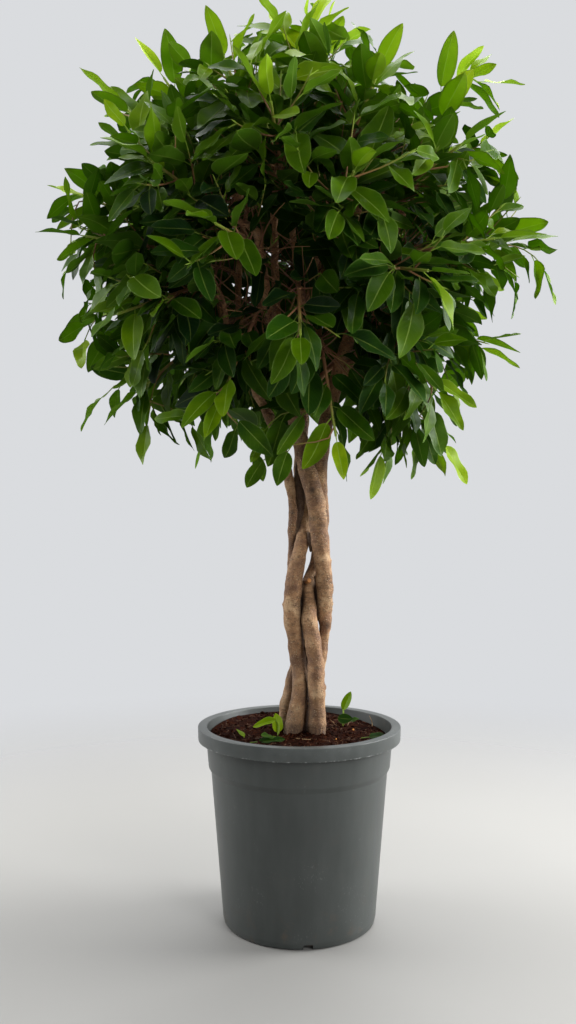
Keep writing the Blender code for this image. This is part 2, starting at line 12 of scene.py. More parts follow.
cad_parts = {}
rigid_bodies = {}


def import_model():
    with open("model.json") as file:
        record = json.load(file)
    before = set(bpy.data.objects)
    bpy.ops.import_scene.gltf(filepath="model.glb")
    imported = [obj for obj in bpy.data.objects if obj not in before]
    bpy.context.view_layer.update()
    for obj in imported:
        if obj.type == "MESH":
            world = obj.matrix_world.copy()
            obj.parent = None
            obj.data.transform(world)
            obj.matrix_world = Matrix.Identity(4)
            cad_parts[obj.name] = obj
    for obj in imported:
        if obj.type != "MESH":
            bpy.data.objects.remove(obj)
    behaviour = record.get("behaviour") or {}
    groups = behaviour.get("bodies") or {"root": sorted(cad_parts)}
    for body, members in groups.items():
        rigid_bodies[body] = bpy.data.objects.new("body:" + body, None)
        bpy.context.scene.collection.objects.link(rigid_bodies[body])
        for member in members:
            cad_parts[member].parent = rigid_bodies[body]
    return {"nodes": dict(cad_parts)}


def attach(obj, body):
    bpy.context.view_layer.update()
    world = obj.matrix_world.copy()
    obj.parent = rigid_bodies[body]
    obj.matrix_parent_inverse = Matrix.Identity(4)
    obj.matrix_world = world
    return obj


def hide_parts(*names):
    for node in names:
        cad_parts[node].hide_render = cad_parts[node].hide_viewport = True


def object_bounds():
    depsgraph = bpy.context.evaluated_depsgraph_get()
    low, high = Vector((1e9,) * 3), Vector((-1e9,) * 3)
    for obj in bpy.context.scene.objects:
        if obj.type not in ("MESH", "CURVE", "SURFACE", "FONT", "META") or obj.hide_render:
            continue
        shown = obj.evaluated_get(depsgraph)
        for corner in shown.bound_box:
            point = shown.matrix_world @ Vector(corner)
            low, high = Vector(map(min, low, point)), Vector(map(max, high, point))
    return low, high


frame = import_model()
cadLow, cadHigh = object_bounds()
cm = 0.01
mm = 0.001
up = Vector((0, 0, 1))
goldenTurn = math.radians(137.508)
clearance = 0.0003      # between the solids that touch


def newObject(name, data):
    made = bpy.data.objects.new(name, data)
    bpy.context.scene.collection.objects.link(made)
    return made


def toMesh(bm, name="part"):
    mesh = bpy.data.meshes.new(name)
    bm.to_mesh(mesh)
    bm.free()
    return mesh


def between(span, share):
    return span[0] + (span[1] - span[0]) * share


# Camera, at the height and distance that the pot's ellipses in the photograph give
camera = {
    "place": (-0.01725, -1.453, 0.612),
    "pitchUp": 0.36,        # degrees
    "lens": 33.19, "sensor": 36,        # mm, along the picture's height
}
lensData = bpy.data.cameras.new("camera")
lensData.lens = camera["lens"]
lensData.sensor_width = camera["sensor"]
cameraObject = newObject("camera", lensData)
cameraObject.location = camera["place"]
cameraObject.rotation_euler = (math.radians(90 + camera["pitchUp"]), 0, 0)
bpy.context.scene.camera = cameraObject


def linear(hexColour):
    # An sRGB hex colour as linear red, green, blue and alpha
    parts = [int(hexColour[i:i + 2], 16) / 255 for i in (1, 3, 5)]
    return [c / 12.92 if c <= 0.04045 else ((c + 0.055) / 1.055) ** 2.4 for c in parts] + [1]


def fill(made, sockets):
    # Sets a node's sockets, each to a value or to another node's output
    for socket, value in sockets.items():
        if isinstance(value, bpy.types.NodeSocket):
            made.id_data.links.new(value, made.inputs[socket])
        else:
            made.inputs[socket].default_value = value


def addNode(tree, kind, *values, out=0, sockets=None, stops=(), **named):
    # One node: values fill its sockets in order, a name with a capital is a socket's, any other name
    # is a setting's, and stops are a ramp's colours. Gives one of the node's outputs.
    made = tree.nodes.new("ShaderNode" + kind)
    filled = {**dict(enumerate(values)), **(sockets or {})}
    for name, value in named.items():
        if name[0].isupper():
            filled[name] = value
        else:
            setattr(made, name, value)
    for number, (place, colour) in enumerate(stops):
        ramp = made.color_ramp.elements
        stop = ramp[number] if number < 2 else ramp.new(place)
        stop.position = place
        stop.color = linear(colour)
    fill(made, filled)
    return made.outputs[out]


ease = {"interpolation_type": "SMOOTHSTEP"}
times = {"operation": "MULTIPLY"}
timesPlus = {"operation": "MULTIPLY_ADD"}


def newMaterial(name):
    # A material, what adds a node to it, and its shader
    material = bpy.data.materials.new(name)
    material.use_nodes = True
    tree = material.node_tree
    return material, partial(addNode, tree), tree.nodes["Principled BSDF"]


def showInstead(material, surface):
    fill(material.node_tree.nodes["Material Output"], {"Surface": surface})


def coated(add, colour, *coats):
    # The colour under coats of dust, stain or wear, each with its mask, its strength and its colour
    for mask, strength, coat in coats:
        share = add("Math", mask, strength, **times)
        coat = linear(coat) if isinstance(coat, str) else coat
        colour = add("Mix", sockets={0: share, 6: colour, 7: coat}, out=2, data_type="RGBA")
    return colour


def summed(add, total, *terms):
    # A number and each term times its factor
    for term, factor in terms:
        total = add("Math", term, factor, total, **timesPlus)
    return total


def addPiece(name, bm, finishes, nodes=(), angle=40):
    # A finished piece: its mesh in place, its finishes, its body and the solids that it stands for
    mesh = toMesh(bm, name)
    for finish in finishes:
        mesh.materials.append(finish)
    mesh.shade_smooth()
    mesh.set_sharp_from_angle(angle=math.radians(angle))
    piece = newObject(name, mesh)
    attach(piece, "root")
    if nodes:
        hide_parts(*nodes)


# Floor and light: a pale floor that fades into the pale surroundings, large soft lamps above
stage = {
    "floorRadius": 2.2,
    "fade": (0.55, 1.9),            # from the pot, where the floor starts and ends its fade
    "floorColour": "#8c8b88", "clouds": 0.94,       # and how much darker its clouds are
    "surroundings": "#dfe1e4",
    "ambient": (0.55, 0.95),        # strength of the surroundings in front and behind
    "lamps": [  # name, place, aim, size, power
        ("lampTop", (0.3, 0.8, 3.0), (0, 0, 1.1), 2.6, 120),
        ("lampRight", (2.2, 0.3, 1.2), (0, 0, 0.6), 1.4, 98),
        ("lampLeft", (-2.2, 0.4, 1.5), (0, 0, 0.8), 1.6, 54),
        ("lampFront", (1.5, -2.2, 1.5), (0, 0, 0.85), 1.0, 40),
    ],
}


def makeStage():
    bm = bmesh.new()
    bmesh.ops.create_circle(bm, cap_ends=True, segments=128, radius=stage["floorRadius"])
    floor = newObject("floor", toMesh(bm, "floor"))
    # Painted board: matt, with faint cloudy wear
    material, add, shader = newMaterial("paintedBoard")
    where = add("TexCoord", out="Object")
    cloud = add("TexNoise", where, Scale=3.0, Detail=3)
    pale = linear(stage["floorColour"])
    colour = coated(add, pale, (cloud, 1, [c * stage["clouds"] for c in pale[:3]] + [1]))
    fill(shader, {"Base Color": colour, "Roughness": 0.6})
    distance = add("VectorMath", where, operation="LENGTH", out="Value")
    gone = add("MapRange", distance, *stage["fade"], **ease)
    showInstead(material, add("MixShader", gone, shader.outputs[0], add("BsdfTransparent")))
    floor.data.materials.append(material)

    world = bpy.data.worlds.new("surroundings")
    world.use_nodes = True
    add = partial(addNode, world.node_tree)
    back = add("SeparateXYZ", add("TexCoord", out="Generated"), out=1)
    strength = add("MapRange", back, -0.3, 0.5, *stage["ambient"], **ease)
    fill(world.node_tree.nodes["Background"], {"Color": linear(stage["surroundings"]), "Strength": strength})
    bpy.context.scene.world = world
    for name, place, aim, size, power in stage["lamps"]:
        data = bpy.data.lights.new(name, "AREA")
        data.shape = "DISK"
        data.size = size
        data.energy = power
        lamp = newObject(name, data)
        lamp.location = place
        lamp.rotation_euler = (Vector(aim) - Vector(place)).to_track_quat("-Z", "Y").to_euler()
    bpy.context.scene.view_settings.view_transform = "Standard"


makeStage()
print("stage and camera done")

# Materials
leafFinish = {
    "tones": [(0.0, "#10260f"), (0.25, "#264808"), (0.50, "#507104"), (0.75, "#7f9c04"), (1.0, "#b2ca1c")],
    "under": "#5d8424",
    "rib": "#aac455",
    "glow": [(0.0, "#446c00"), (0.6, "#8cb400"), (1.0, "#b6d40c")],
    "glowShare": 0.38, "glowAtEdge": 0.10,
    "veinPairs": 9, "veinSlant": 2.1,
}


def makeLeafMaterial():
    # Waxy fig leaf: a smooth, glossy upper side, a matt paler lower side, a pale midrib,
    # fine side veins, and a soft glow where light comes through the blade
    material, add, shader = newMaterial("waxyFigLeaf")
    place = add("UVMap", uv_map="leafMap")
    along = add("SeparateXYZ", place, out=1)
    side = add("Math", summed(add, -1.0, (add("SeparateXYZ", place), 2.0)), operation="ABSOLUTE")
    # each leaf's tone: its own age and variation, with painted light and shade over the crown
    tone = add("Attribute", attribute_name="tone", out="Fac")
    under = add("Attribute", attribute_name="under", out="Fac")
    where = add("TexCoord", out="Object")
    cloud = add("TexNoise", where, Scale=1 / (25 * mm), Detail=3)
    mottle = add("TexNoise", where, Scale=1 / (4 * mm), Detail=2)
    rib = add("MapRange", side, 0.02, 0.075, 1.0, 0.0, **ease)
    slant = summed(add, 0.0, (along, leafFinish["veinPairs"]), (side, -leafFinish["veinSlant"]))
    vein = add("MapRange", add("Math", slant, 0.5, operation="PINGPONG"), 0.0, 0.10, 1.0, 0.0, **ease)
    margin = add("MapRange", side, 0.90, 1.0, **ease)
    shade = summed(add, -0.175, (cloud, 0.35), (tone, 1.0))
    colour = coated(add, add("ValToRGB", shade, stops=leafFinish["tones"]), (mottle, 0.16, "#0b1f0c"),
                    (vein, 0.07, "#8fae4c"), (under, 0.42, leafFinish["under"]), (margin, 0.16, "#a8be6a"),
                    (rib, summed(add, 0.22, (tone, 0.45)), leafFinish["rib"]))
    relief = summed(add, 0.0, (rib, -0.9), (vein, -0.15), (mottle, 0.12))
    fill(shader, {"Base Color": colour, "IOR": 1.38, "Specular IOR Level": 0.13,
                  "Roughness": summed(add, 0.36, (under, 0.20), (mottle, 0.14)),
                  "Normal": add("Bump", Height=relief, Strength=0.5, Distance=0.4 * mm)})
    glow = add("BsdfTranslucent", add("ValToRGB", tone, stops=leafFinish["glow"]))
    thin = add("Math", side, along, operation="MAXIMUM")        # the blade thins out to its margin and tip
    through = add("MapRange", thin, 0.78, 1.0, leafFinish["glowShare"], leafFinish["glowAtEdge"], **ease)
    showInstead(material, add("MixShader", through, shader.outputs[0], glow))
    return material


def makeTwigMaterial():
    # Young fig bark: green and smooth at the tip, then tan with pale pores and leaf scars
    material, add, shader = newMaterial("youngFigBark")
    age = add("Attribute", attribute_name="age", out="Fac")
    blotch = add("TexNoise", add("TexCoord", out="Object"), Scale=1 / (6 * mm), Detail=4)
    colour = add("ValToRGB", summed(add, -0.25, (blotch, 0.5), (age, 1.0)), stops=[
        (0.0, "#84a02c"), (0.30, "#7d8030"), (0.6, "#8c663c"), (1.0, "#80543a")])
    fill(shader, {"Base Color": colour, "Roughness": 0.62,
                  "Normal": add("Bump", Height=blotch, Strength=0.6, Distance=0.5 * mm)})
    return material


barkFinish = {
    "trunk": [(0.0, "#452a18"), (0.36, "#6d4b30"), (0.58, "#8f6a46"), (1.0, "#c9aa82")],
    # young bark in the crown: redder, and painted paler to make up for the crown's shade
    "crown": [(0.0, "#8f5c3a"), (0.5, "#c08a5e"), (1.0, "#d8ac84")],
    "crownFrom": (0.70, 0.95),      # the height over which the bark turns redder, and paler with painted light
    "film": (0.28, 0.44),           # and over which the olive film near the soil fades
    "dust": (11 * mm, 36 * mm),     # above the soil, where the peat dust on the feet fades
}


def makeBarkMaterial():
    # Fig bark: thin, smooth and tan, with fine wrinkles across the stem, raised pale pores,
    # dark stains, painted shade with some dirt in the clefts, and redder young bark in the crown
    material, add, shader = newMaterial("figBark")
    where = add("TexCoord", out="Object")
    height = add("SeparateXYZ", where, out=2)
    patch = add("TexNoise", where, Scale=1 / (30 * mm), Detail=5, Roughness=0.6)
    patch = add("MapRange", patch, 0.08, 0.92, **ease)
    # wrinkles run across the stem, 1.5 mm apart, in zones with smooth bark between them
    flat = add("Mapping", where, Scale=(0.20, 0.20, 1.0))
    wrinkle = add("TexNoise", flat, Scale=1 / (2.6 * mm), Detail=4, Roughness=0.6)
    zone = add("TexNoise", where, Scale=1 / (40 * mm), Detail=2)
    zone = add("MapRange", zone, 0.46, 0.62, 0.12, 1.0, **ease)
    # pores: rounded dots about 2 mm across, set some 5 mm apart in patches
    squat = add("Mapping", where, Scale=(0.8, 0.8, 1.25))
    cell = add("MapRange", add("TexVoronoi", squat, Scale=1 / (4.6 * mm)), 0.09, 0.25, 1.0, 0.0, **ease)
    some = add("TexNoise", where, Scale=1 / (14 * mm), Detail=1)
    pore = add("Math", cell, add("MapRange", some, 0.38, 0.52, **ease), **times)
    # stains, dark specks and fine grain
    stain = add("TexNoise", where, Scale=1 / (45 * mm), Detail=6, Roughness=0.65)
    fleck = add("TexNoise", where, Scale=1 / (3.2 * mm), Detail=3)
    grain = add("TexNoise", where, Scale=1 / (1.5 * mm), Detail=3)
    film = add("MapRange", height, *barkFinish["film"], 0.24, 0.0, **ease)
    dust = add("MapRange", height, *(soil["level"] + reach for reach in barkFinish["dust"]), 1.0, 0.0, **ease)
    colour = coated(
        add, add("ValToRGB", patch, stops=barkFinish["trunk"]),
        # redder young bark in the crown, painted paler against the crown's shade
        (add("MapRange", height, *barkFinish["crownFrom"], **ease), 1.0,
         add("ValToRGB", patch, stops=barkFinish["crown"])),
        (add("MapRange", wrinkle, 0.40, 0.56, 0.62, 0.0, **ease), zone, "#452d19"),
        (add("MapRange", stain, 0.50, 0.72, **ease), 0.22, "#4f3826"),
        (add("MapRange", fleck, 0.54, 0.68, **ease), 0.60, "#432c19"),
        (add("MapRange", grain, 0.56, 0.70, **ease), 0.35, "#c4a680"),
        (pore, 0.62, "#cfb48b"),
        (add("MapRange", stain, 0.38, 0.58, **ease), film, "#716a54"),
        (add("MapRange", fleck, 0.30, 0.58, 0.30, 0.90, **ease), dust, "#3a2416"),
        # painted shade on the pressed wood and in the clefts, with some dirt there, and the dark of the knots
        (add("Attribute", attribute_name="scarAndShade", out="Fac"), 1.0, "#2c1b10"),
        (add("Attribute", attribute_name="sawn", out="Fac"), 1.0, "#b9793c"))
    ridges = add("Math", wrinkle, zone, **times)
    relief = summed(add, 0.0, (fleck, 0.5), (grain, 0.6), (ridges, 1.3), (pore, 0.8))
    fill(shader, {"Base Color": colour, "Roughness": 0.72,
                  "Normal": add("Bump", Height=relief, Strength=1.0, Distance=2.2 * mm)})
    return material


def makePlasticMaterial():
    # Injection-moulded polypropylene, mid grey: satin, slightly mottled, with fine scuffs, a worn
    # paler rim, pale burrs on its lower edge and peat dust low on the wall
    material, add, shader = newMaterial("mouldedPolypropylene")
    where = add("TexCoord", out="Object")
    height = add("SeparateXYZ", where, out=2)
    tall = add("Mapping", where, Scale=(1, 1, 0.22))
    streak = add("TexNoise", tall, Scale=1 / (14 * mm), Detail=4)
    cloud = add("TexNoise", where, Scale=1 / (70 * mm), Detail=4)
    grain = add("TexNoise", where, Scale=1 / (1.2 * mm), Detail=2)
    specks = add("TexNoise", where, Scale=1 / (5 * mm), Detail=3)
    edge = pot["height"] - pot["rimDrop"]
    rim = add("MapRange", height, edge - 1 * mm, edge, **ease)
    # scuffs: short pale scratches that run every way
    scuffs = 0.0
    for turn in (0.3, 1.5, 2.4):
        turned = add("Mapping", where, Rotation=(turn, turn * 2, turn), Scale=(1, 0.05, 0.6))
        line = add("TexNoise", turned, Scale=1 / (2.4 * mm), Detail=0)
        scuffs = add("Math", add("MapRange", line, 0.76, 0.80, **ease), scuffs, operation="MAXIMUM")
    scuffs = add("Math", scuffs, add("MapRange", cloud, 0.50, 0.62, **ease), **times)
    away = add("Math", add("Math", height, edge + 0.6 * mm, operation="SUBTRACT"), operation="ABSOLUTE")
    burr = add("Math", add("MapRange", away, 0.0, 1.6 * mm, 1.0, 0.0, **ease),
               add("MapRange", specks, 0.48, 0.68, **ease), **times)
    # peat dust: more of it towards the foot
    dust = add("TexNoise", where, Scale=1 / (28 * mm), Detail=6, Roughness=0.7)
    dust = add("Math", add("MapRange", dust, 0.52, 0.70, **ease),
               add("MapRange", height, 0.0, 0.07, 0.5, 0.06, **ease), **times)
    shade = summed(add, 0.0, (cloud, 0.5), (streak, 0.5))
    colour = coated(add, add("ValToRGB", shade, stops=potFinish["tones"]), (rim, 0.12, potFinish["rim"]),
                    (add("MapRange", cloud, 0.46, 0.68, 0.0, 0.12, **ease), rim, "#7e8280"),
                    (scuffs, 0.13, "#8b8f8d"), (burr, 0.42, "#b0b3b0"), (dust, 1.0, "#57493c"))
    streaked = add("MapRange", rim, 0.0, 1.0, 1.0, 0.15, **ease)        # the wall more than the rim
    relief = summed(add, 0.0, (streak, streaked), (grain, 0.25), (scuffs, -0.6), (burr, 1.5))
    rough = summed(add, potFinish["roughness"], (cloud, 0.12), (scuffs, 0.15), (dust, 0.35))
    fill(shader, {"Base Color": colour, "IOR": 1.49, "Roughness": rough,
                  "Normal": add("Bump", Height=relief, Strength=0.30, Distance=0.35 * mm)})
    return material


def makePeatMaterial():
    # Potting peat: matt, dark reddish brown, a little darker where it is moist
    material, add, shader = newMaterial("pottingPeat")
    where = add("TexCoord", out="Object")
    moist = add("TexNoise", where, Scale=1 / (30 * mm), Detail=3)
    clod = add("TexNoise", where, Scale=1 / (3.5 * mm), Detail=5, Roughness=0.7)
    grain = add("TexNoise", where, Scale=1 / (0.9 * mm), Detail=3)
    colour = add("ValToRGB", summed(add, -0.2, (moist, 0.4), (clod, 1.0)), stops=[
        (0.30, "#090301"), (0.46, "#1a0904"), (0.58, "#2a1107"), (0.74, "#4b2814")])
    relief = summed(add, 0.0, (clod, 1.0), (grain, 0.4))
    fill(shader, {"Base Color": colour, "Roughness": 0.95, "Specular IOR Level": 0.04,
                  "Normal": add("Bump", Height=relief, Strength=1.0, Distance=1.6 * mm)})
    return material


def makeBitsMaterial(name, pale, dark, spacing):
    # Small bits in the peat, such as dry root fibres and grains of slow plant food
    material, add, shader = newMaterial(name)
    patch = add("TexNoise", add("TexCoord", out="Object"), Scale=1 / spacing, Detail=3)
    patch = add("MapRange", patch, 0.35, 0.65, **ease)
    fill(shader, {"Base Color": coated(add, linear(pale), (patch, 1.0, dark)), "Roughness": 0.7})
    return material


# Pot: a turned shell with a turned-down rim, a step under it and four drain notches
pot = {
    "height": 0.295, "rimRadius": 0.155, "rimDrop": 0.020, "lipRadius": 0.141,
    "wall": 0.0025, "floor": 0.004,
    "neckRadius": 0.1435,
    "stepTop": (0.1385, 0.2345), "stepFoot": (0.1345, 0.2270),      # radius and height
    "footRadius": 0.1165, "footHeight": 0.010, "footTurn": 0.006,
    "recess": (0.101, 0.0008),      # of the underside: radius and depth
    "gate": (0.0035, 0.0006),       # the mark at its middle, where the mould was filled
    "edge": 0.0012,                 # rounding of the corners
    "steps": 192,
    "burr": 0.00035,                # unevenness of the rim's lower edge
    "notches": 4, "notchSize": (0.024, 0.014, 0.016), "notchEdge": 0.0018, "notchTurn": -84.3,
}
potFinish = {
    "tones": [(0.25, "#313533"), (0.50, "#383c3a"), (0.75, "#3f4341")],
    "rim": "#535755",
    "roughness": 0.36,
}

# Soil: peat to just under the rim, a little higher round the trunk and at the back
soil = {
    "level": 0.2745, "mound": 0.0075,
    "heap": (0.0065, 0.012),        # of the peat against each stem: height and reach
    "bank": 0.0125,                 # how much higher the peat lies at the back edge than in the middle
    "rings": 62, "steps": 150,
    "lumps": [(0.0030, 45), (0.0020, 120), (0.0011, 330)],     # height, and number to the metre
    "calmEdge": 0.004,              # width of the smoother peat along the wall
    "calmFoot": (0.25, 0.012),      # share of its roughness against a stem, and how far that reaches
    "crumbs": 1300, "crumbSize": (0.0007, 0.0034),
    "crumbShape": ((0.7, 1.5), (0.6, 1.0), (0.5, 0.9)), "crumbRough": (0.75, 1.2),
    "footCrumbs": 90,               # against each stem
    "fibres": 340, "fibreLength": (0.004, 0.016), "fibreRadius": 0.00021,
    "fibreCurl": (-0.7, 0.7), "fibreLift": (0, 0.25),
    "grains": [(0.055, -0.033), (0.085, 0.030), (-0.050, 0.070)], "grainRadius": (0.0013, 0.0019),
    "straw": [(-0.012, -0.041), (0.000, -0.0425), (0.012, -0.043), (0.025, -0.0455)],
    "sticks": [((0.118, 0.058), (0.113, 0.060), 0.018), ((0.058, 0.060), (0.050, 0.062), 0.007),
               ((0.078, 0.062), (0.088, 0.066), 0.010)],    # foot, tip and height of each
    "stickRadius": 0.0006,
    "seed": 5,
}

plantFinish = [makeLeafMaterial(), makeTwigMaterial()]
barkMaterial = makeBarkMaterial()
plasticMaterial = makePlasticMaterial()
soilFinish = [makePeatMaterial(),
              makeBitsMaterial("dryRootFibre", "#7a5838", "#472c1a", 4 * mm),
              makeBitsMaterial("coatedPlantFood", "#c98a35", "#b5702a", 2 * mm),
              makeBitsMaterial("dryStraw", "#a5875f", "#7d5f3e", 6 * mm)]
print("materials done")


# Stems: centre line and radius in centimetres from the foot in the soil up into the crown.
# Forks leave the stem at the point that they start from.
stems = {
    "stem_right": (
        [(2.60, -1.90, 23.5, 1.35), (2.62, -2.00, 31, 1.32), (2.50, -2.10, 39, 1.27),
         (2.00, -1.95, 42.6, 1.22), (1.52, -1.50, 45.6, 1.18), (1.50, -0.30, 48.6, 1.04),
         (1.62, 0.90, 51.3, 1.00), (2.60, 1.65, 54.2, 1.00), (3.40, 1.60, 60, 1.12),
         (3.25, 1.00, 66.5, 1.12), (3.65, 0.45, 73, 1.12), (5.05, 0.20, 79.3, 1.12),
         (6.75, 0, 86.0, 1.05), (8.6, -0.5, 91.2, 0.95), (12.5, -2, 98.9, 0.75), (15.5, -3.5, 106.7, 0.55)],
        [[(6.75, 0, 86.0, 0.8), (8.6, 3, 94.6, 0.7), (8.4, 4.5, 104.9, 0.58), (6.5, 3.5, 114.4, 0.46)],
         [(5.6, 0.1, 81.7, 0.62), (8.5, -2.2, 85.5, 0.52), (11.5, -4.3, 88, 0.42)]]),
    "stem_back": (
        [(-1.30, -1.75, 23.5, 1.48), (-1.05, -1.62, 28.5, 1.42), (-0.25, -1.25, 32.2, 1.28),
         (0.15, -0.65, 36.5, 1.20), (-0.25, -0.42, 40, 1.20), (-1.03, -0.70, 46, 1.36),
         (-0.85, -1.05, 51, 1.33), (-0.15, -1.08, 54.9, 1.20), (0.95, 0.60, 59.5, 0.98),
         (0.80, 1.55, 62.5, 0.95), (0.15, 2.60, 67, 0.93), (0.60, 3.80, 76, 0.93), (1.8, 6.5, 84.3, 0.88),
         (3.2, 10.5, 92.9, 0.75), (4, 14.5, 102.4, 0.55)],
        [[(1.2, 5.1, 80.4, 0.66), (-3, 9, 88.6, 0.58), (-6.5, 13, 97.2, 0.46)],
         [(1.8, 6.5, 84.3, 0.66), (0.8, 7.5, 94.6, 0.6), (-0.8, 7, 105.8, 0.52), (-1.5, 5, 116.1, 0.42)],
         [(1.35, 5.4, 81.7, 0.55), (5.5, 8, 86, 0.46), (8.5, 10, 89, 0.4)]]),
    "stem_front": (
        [(2.60, 1.45, 23.5, 1.25), (2.72, 1.35, 31, 1.22), (2.85, 1.00, 37, 1.05), (3.40, 0.60, 41, 1.00),
         (4.00, 0.28, 44.4, 0.90), (3.85, 0.00, 47.3, 1.25), (3.80, -1.00, 51.5, 1.25),
         (3.20, -1.50, 57, 1.36), (2.50, -1.85, 63.6, 1.40), (0.80, -1.68, 70, 1.24),
         (-0.50, -1.55, 76, 1.14), (-2.2, -2.2, 83.4, 1.05), (-4.6, -5, 92.0, 0.86),
         (-6, -9.5, 101.5, 0.6)],
        [[(-2.2, -2.2, 83.4, 0.72), (0.9, -5.8, 92.0, 0.66), (3, -9, 101.5, 0.54), (3.6, -10, 110.1, 0.44)],
         [(-1.2, -1.75, 79, 0.60), (0.8, -5.5, 83, 0.5), (2.2, -9, 86, 0.42)],
         [(-3.2, -3.2, 86.9, 0.7), (-3.6, -3.2, 96.3, 0.62), (-3.8, -2.6, 106.7, 0.52),
          (-4, -3.4, 116.1, 0.42)]]),
    "stem_left": (
        [(-2.30, 1.20, 23.5, 1.10), (-2.10, 1.20, 29.5, 1.09), (-1.50, 1.50, 34, 1.05),
         (-0.30, 2.20, 38.5, 1.02), (0.30, 2.30, 42, 1.00), (-0.15, 2.20, 45.5, 1.00),
         (-0.85, 1.80, 50, 0.96), (-0.85, 1.55, 56.5, 0.88), (-0.88, 0.95, 59.5, 0.82),
         (-1.05, 0.35, 63.5, 0.74), (-2.15, -0.15, 70, 0.72), (-4.2, 0.50, 76, 0.74),
         (-8, 1.5, 83.4, 0.72), (-11.5, 1.8, 92.0, 0.64), (-14.5, 1, 101.5, 0.5)],
        [[(-8, 1.5, 83.4, 0.6), (-9.5, 4.8, 92.9, 0.54), (-9.5, 7, 104.1, 0.46), (-8, 6.5, 112.7, 0.4)],
         [(-5.6, 0.85, 78.8, 0.52), (-8.8, -2.4, 83.5, 0.46), (-11, -5.5, 87.5, 0.4)]]),
}
wood = {
    "ring": 0.037,          # the rings between which the growth rule chooses, along a stem
    "forkRing": 0.070,      # and along a fork
    "branchFloor": 0.765,   # no branch leaves a stem below this height
    "branchRadius": 0.0048,
    "tipRadius": 0.0030,
    "branchEnd": 0.020,
    "pull": 0.38,
    "back": 0.55,
}

# Crown: leafy shoots on an even spiral of directions round the crown's middle
crown = {
    "centre": Vector((-0.003, 0.0, 1.020)),
    "reach": Vector((0.390, 0.380, 0.380)),
    "shoots": 45,
    "low": 0.88,            # sine of the lowest direction below the middle
    "start": (0.51, 0.03),      # share of the reach where a leafy shoot starts, and how much it drifts
    "end": (0.82, 0.04),        # and where its twig ends
    "lift": 0.14,
    "lowFrom": 0.20, "lowHang": 0.065,
    "sprigTwig": 0.120,
    "twigRadius": 0.0026, "twigTip": 0.0018, "twigSteps": 9,
    "leaves": 8, "firstLeaf": 0.14, "nextShare": 0.90, "lastShare": 0.97,
    "seed": 71,
    # its outline from the front: degrees from +X up over the top, and the share of the reach there
    "outline": ((0, 0.90), (20, 0.96), (32, 0.88), (42, 0.94), (60, 0.86), (74, 0.97), (92, 1.03),
                (108, 0.97), (128, 0.93), (146, 0.99), (182, 0.96), (216, 1.01), (230, 0.97),
                (242, 0.86), (268, 0.86), (286, 0.98), (300, 1.03), (322, 0.94), (340, 0.94), (360, 0.90)),
}
sprigTips = [(-0.265, -0.02, 1.340), (0.297, -0.03, 1.324), (0.397, -0.02, 1.016), (-0.399, -0.03, 1.094),
             (-0.294, -0.05, 0.750), (0.225, -0.06, 0.675), (0.343, 0.02, 0.836), (0.05, -0.03, 1.405)]

# How a leaf grows from its twig and lies
leaf = {
    "length": (0.064, 0.080), "width": (0.026, 0.033),
    "stalk": 0.013, "stalkRadius": 0.0008, "stalkLean": math.radians(55),
    "stalkTaper": (1.25, 0.95, 0.6),        # at the twig, at the blade and inside it
    "rib": 0.04,                            # how far it runs into the blade
    "spread": (34, 34), "spreadDrift": 5,
    "droop": ((0.45, 0.12), (-0.25, 0.30), (-1, 0.50)), "droopDrift": (0.6, 1.2),
    "faces": (0.9, 0.75, 0.25), "roll": 28,
    "lastLeaf": (0.88, 0.80),
    "arch": 0.05,           # of the solid leaf's tip
    "turns": 4,
    "sharp": 24,            # degrees past which a crease stays sharp
}


def smoothLine(points, spacing):
    # A smooth curve through points of (x, y, z, radius) in centimetres, sampled along its length
    places = [Vector(point[:3]) * cm for point in points]
    radii = [point[3] * cm for point in points]
    line = []
    for i in range(len(places) - 1):
        before, start, end, after = (places[min(max(k, 0), len(places) - 1)] for k in range(i - 1, i + 3))
        count = max(1, round((end - start).length / spacing))
        for k in range(count):
            t = k / count
            place = 0.5 * ((2 * start) + (end - before) * t
                           + (2 * before - 5 * start + 4 * end - after) * t * t
                           + (3 * start - before - 3 * end + after) * t ** 3)
            line.append((place, radii[i] + (radii[i + 1] - radii[i]) * t))
    return line + [(places[-1], radii[-1])]


def bend(start, startWay, end, endWay, count):
    # Points of a smooth bend that leaves and arrives in the given directions
    pull = (end - start).length * wood["pull"]
    a, b = start + startWay * pull, end - endWay * pull
    points = []
    for i in range(count + 1):
        t = i / count
        s = 1 - t
        points.append(start * s ** 3 + a * 3 * s * s * t + b * 3 * s * t * t + end * t ** 3)
    return points


def tapering(points, thick, thin):
    # A line of (place, radius) whose radius goes evenly from thick to thin
    last = len(points) - 1
    return [(point, thick + (thin - thick) * i / last) for i, point in enumerate(points)]


def pointAt(line, share):
    # Place, direction and thickness at a share of a line's length
    lengths = [(b[0] - a[0]).length for a, b in zip(line, line[1:])]
    left = share * sum(lengths)
    for (a, b), length in zip(zip(line, line[1:]), lengths):
        if left <= length or b is line[-1]:
            part = left / length
            return a[0].lerp(b[0], part), (b[0] - a[0]).normalized(), a[1] + (b[1] - a[1]) * part
        left -= length


def outlineShare(direction):
    # How far the crown reaches that way: its outline shows where it is seen edge on
    angle = math.degrees(math.atan2(direction.z, direction.x)) % 360
    (low, first), (high, last) = next(pair for pair in zip(crown["outline"], crown["outline"][1:])
                                      if angle <= pair[1][0])
    share = first + (last - first) * (angle - low) / (high - low)
    return 1 + (share - 1) * (1 - direction.y ** 2)


def crownPoint(direction, share, drift):
    share = (share + drift) * outlineShare(direction)
    return crown["centre"] + Vector(d * r for d, r in zip(direction, crown["reach"])) * share


def shareOfReach(place):
    # Where a place lies in the crown, as shares of its reach along each axis
    return Vector(o / r for o, r in zip(place - crown["centre"], crown["reach"]))


def reachOf(place):
    # Share of the crown's own reach in that direction
    out = shareOfReach(place)
    return out.length / outlineShare(out.normalized())


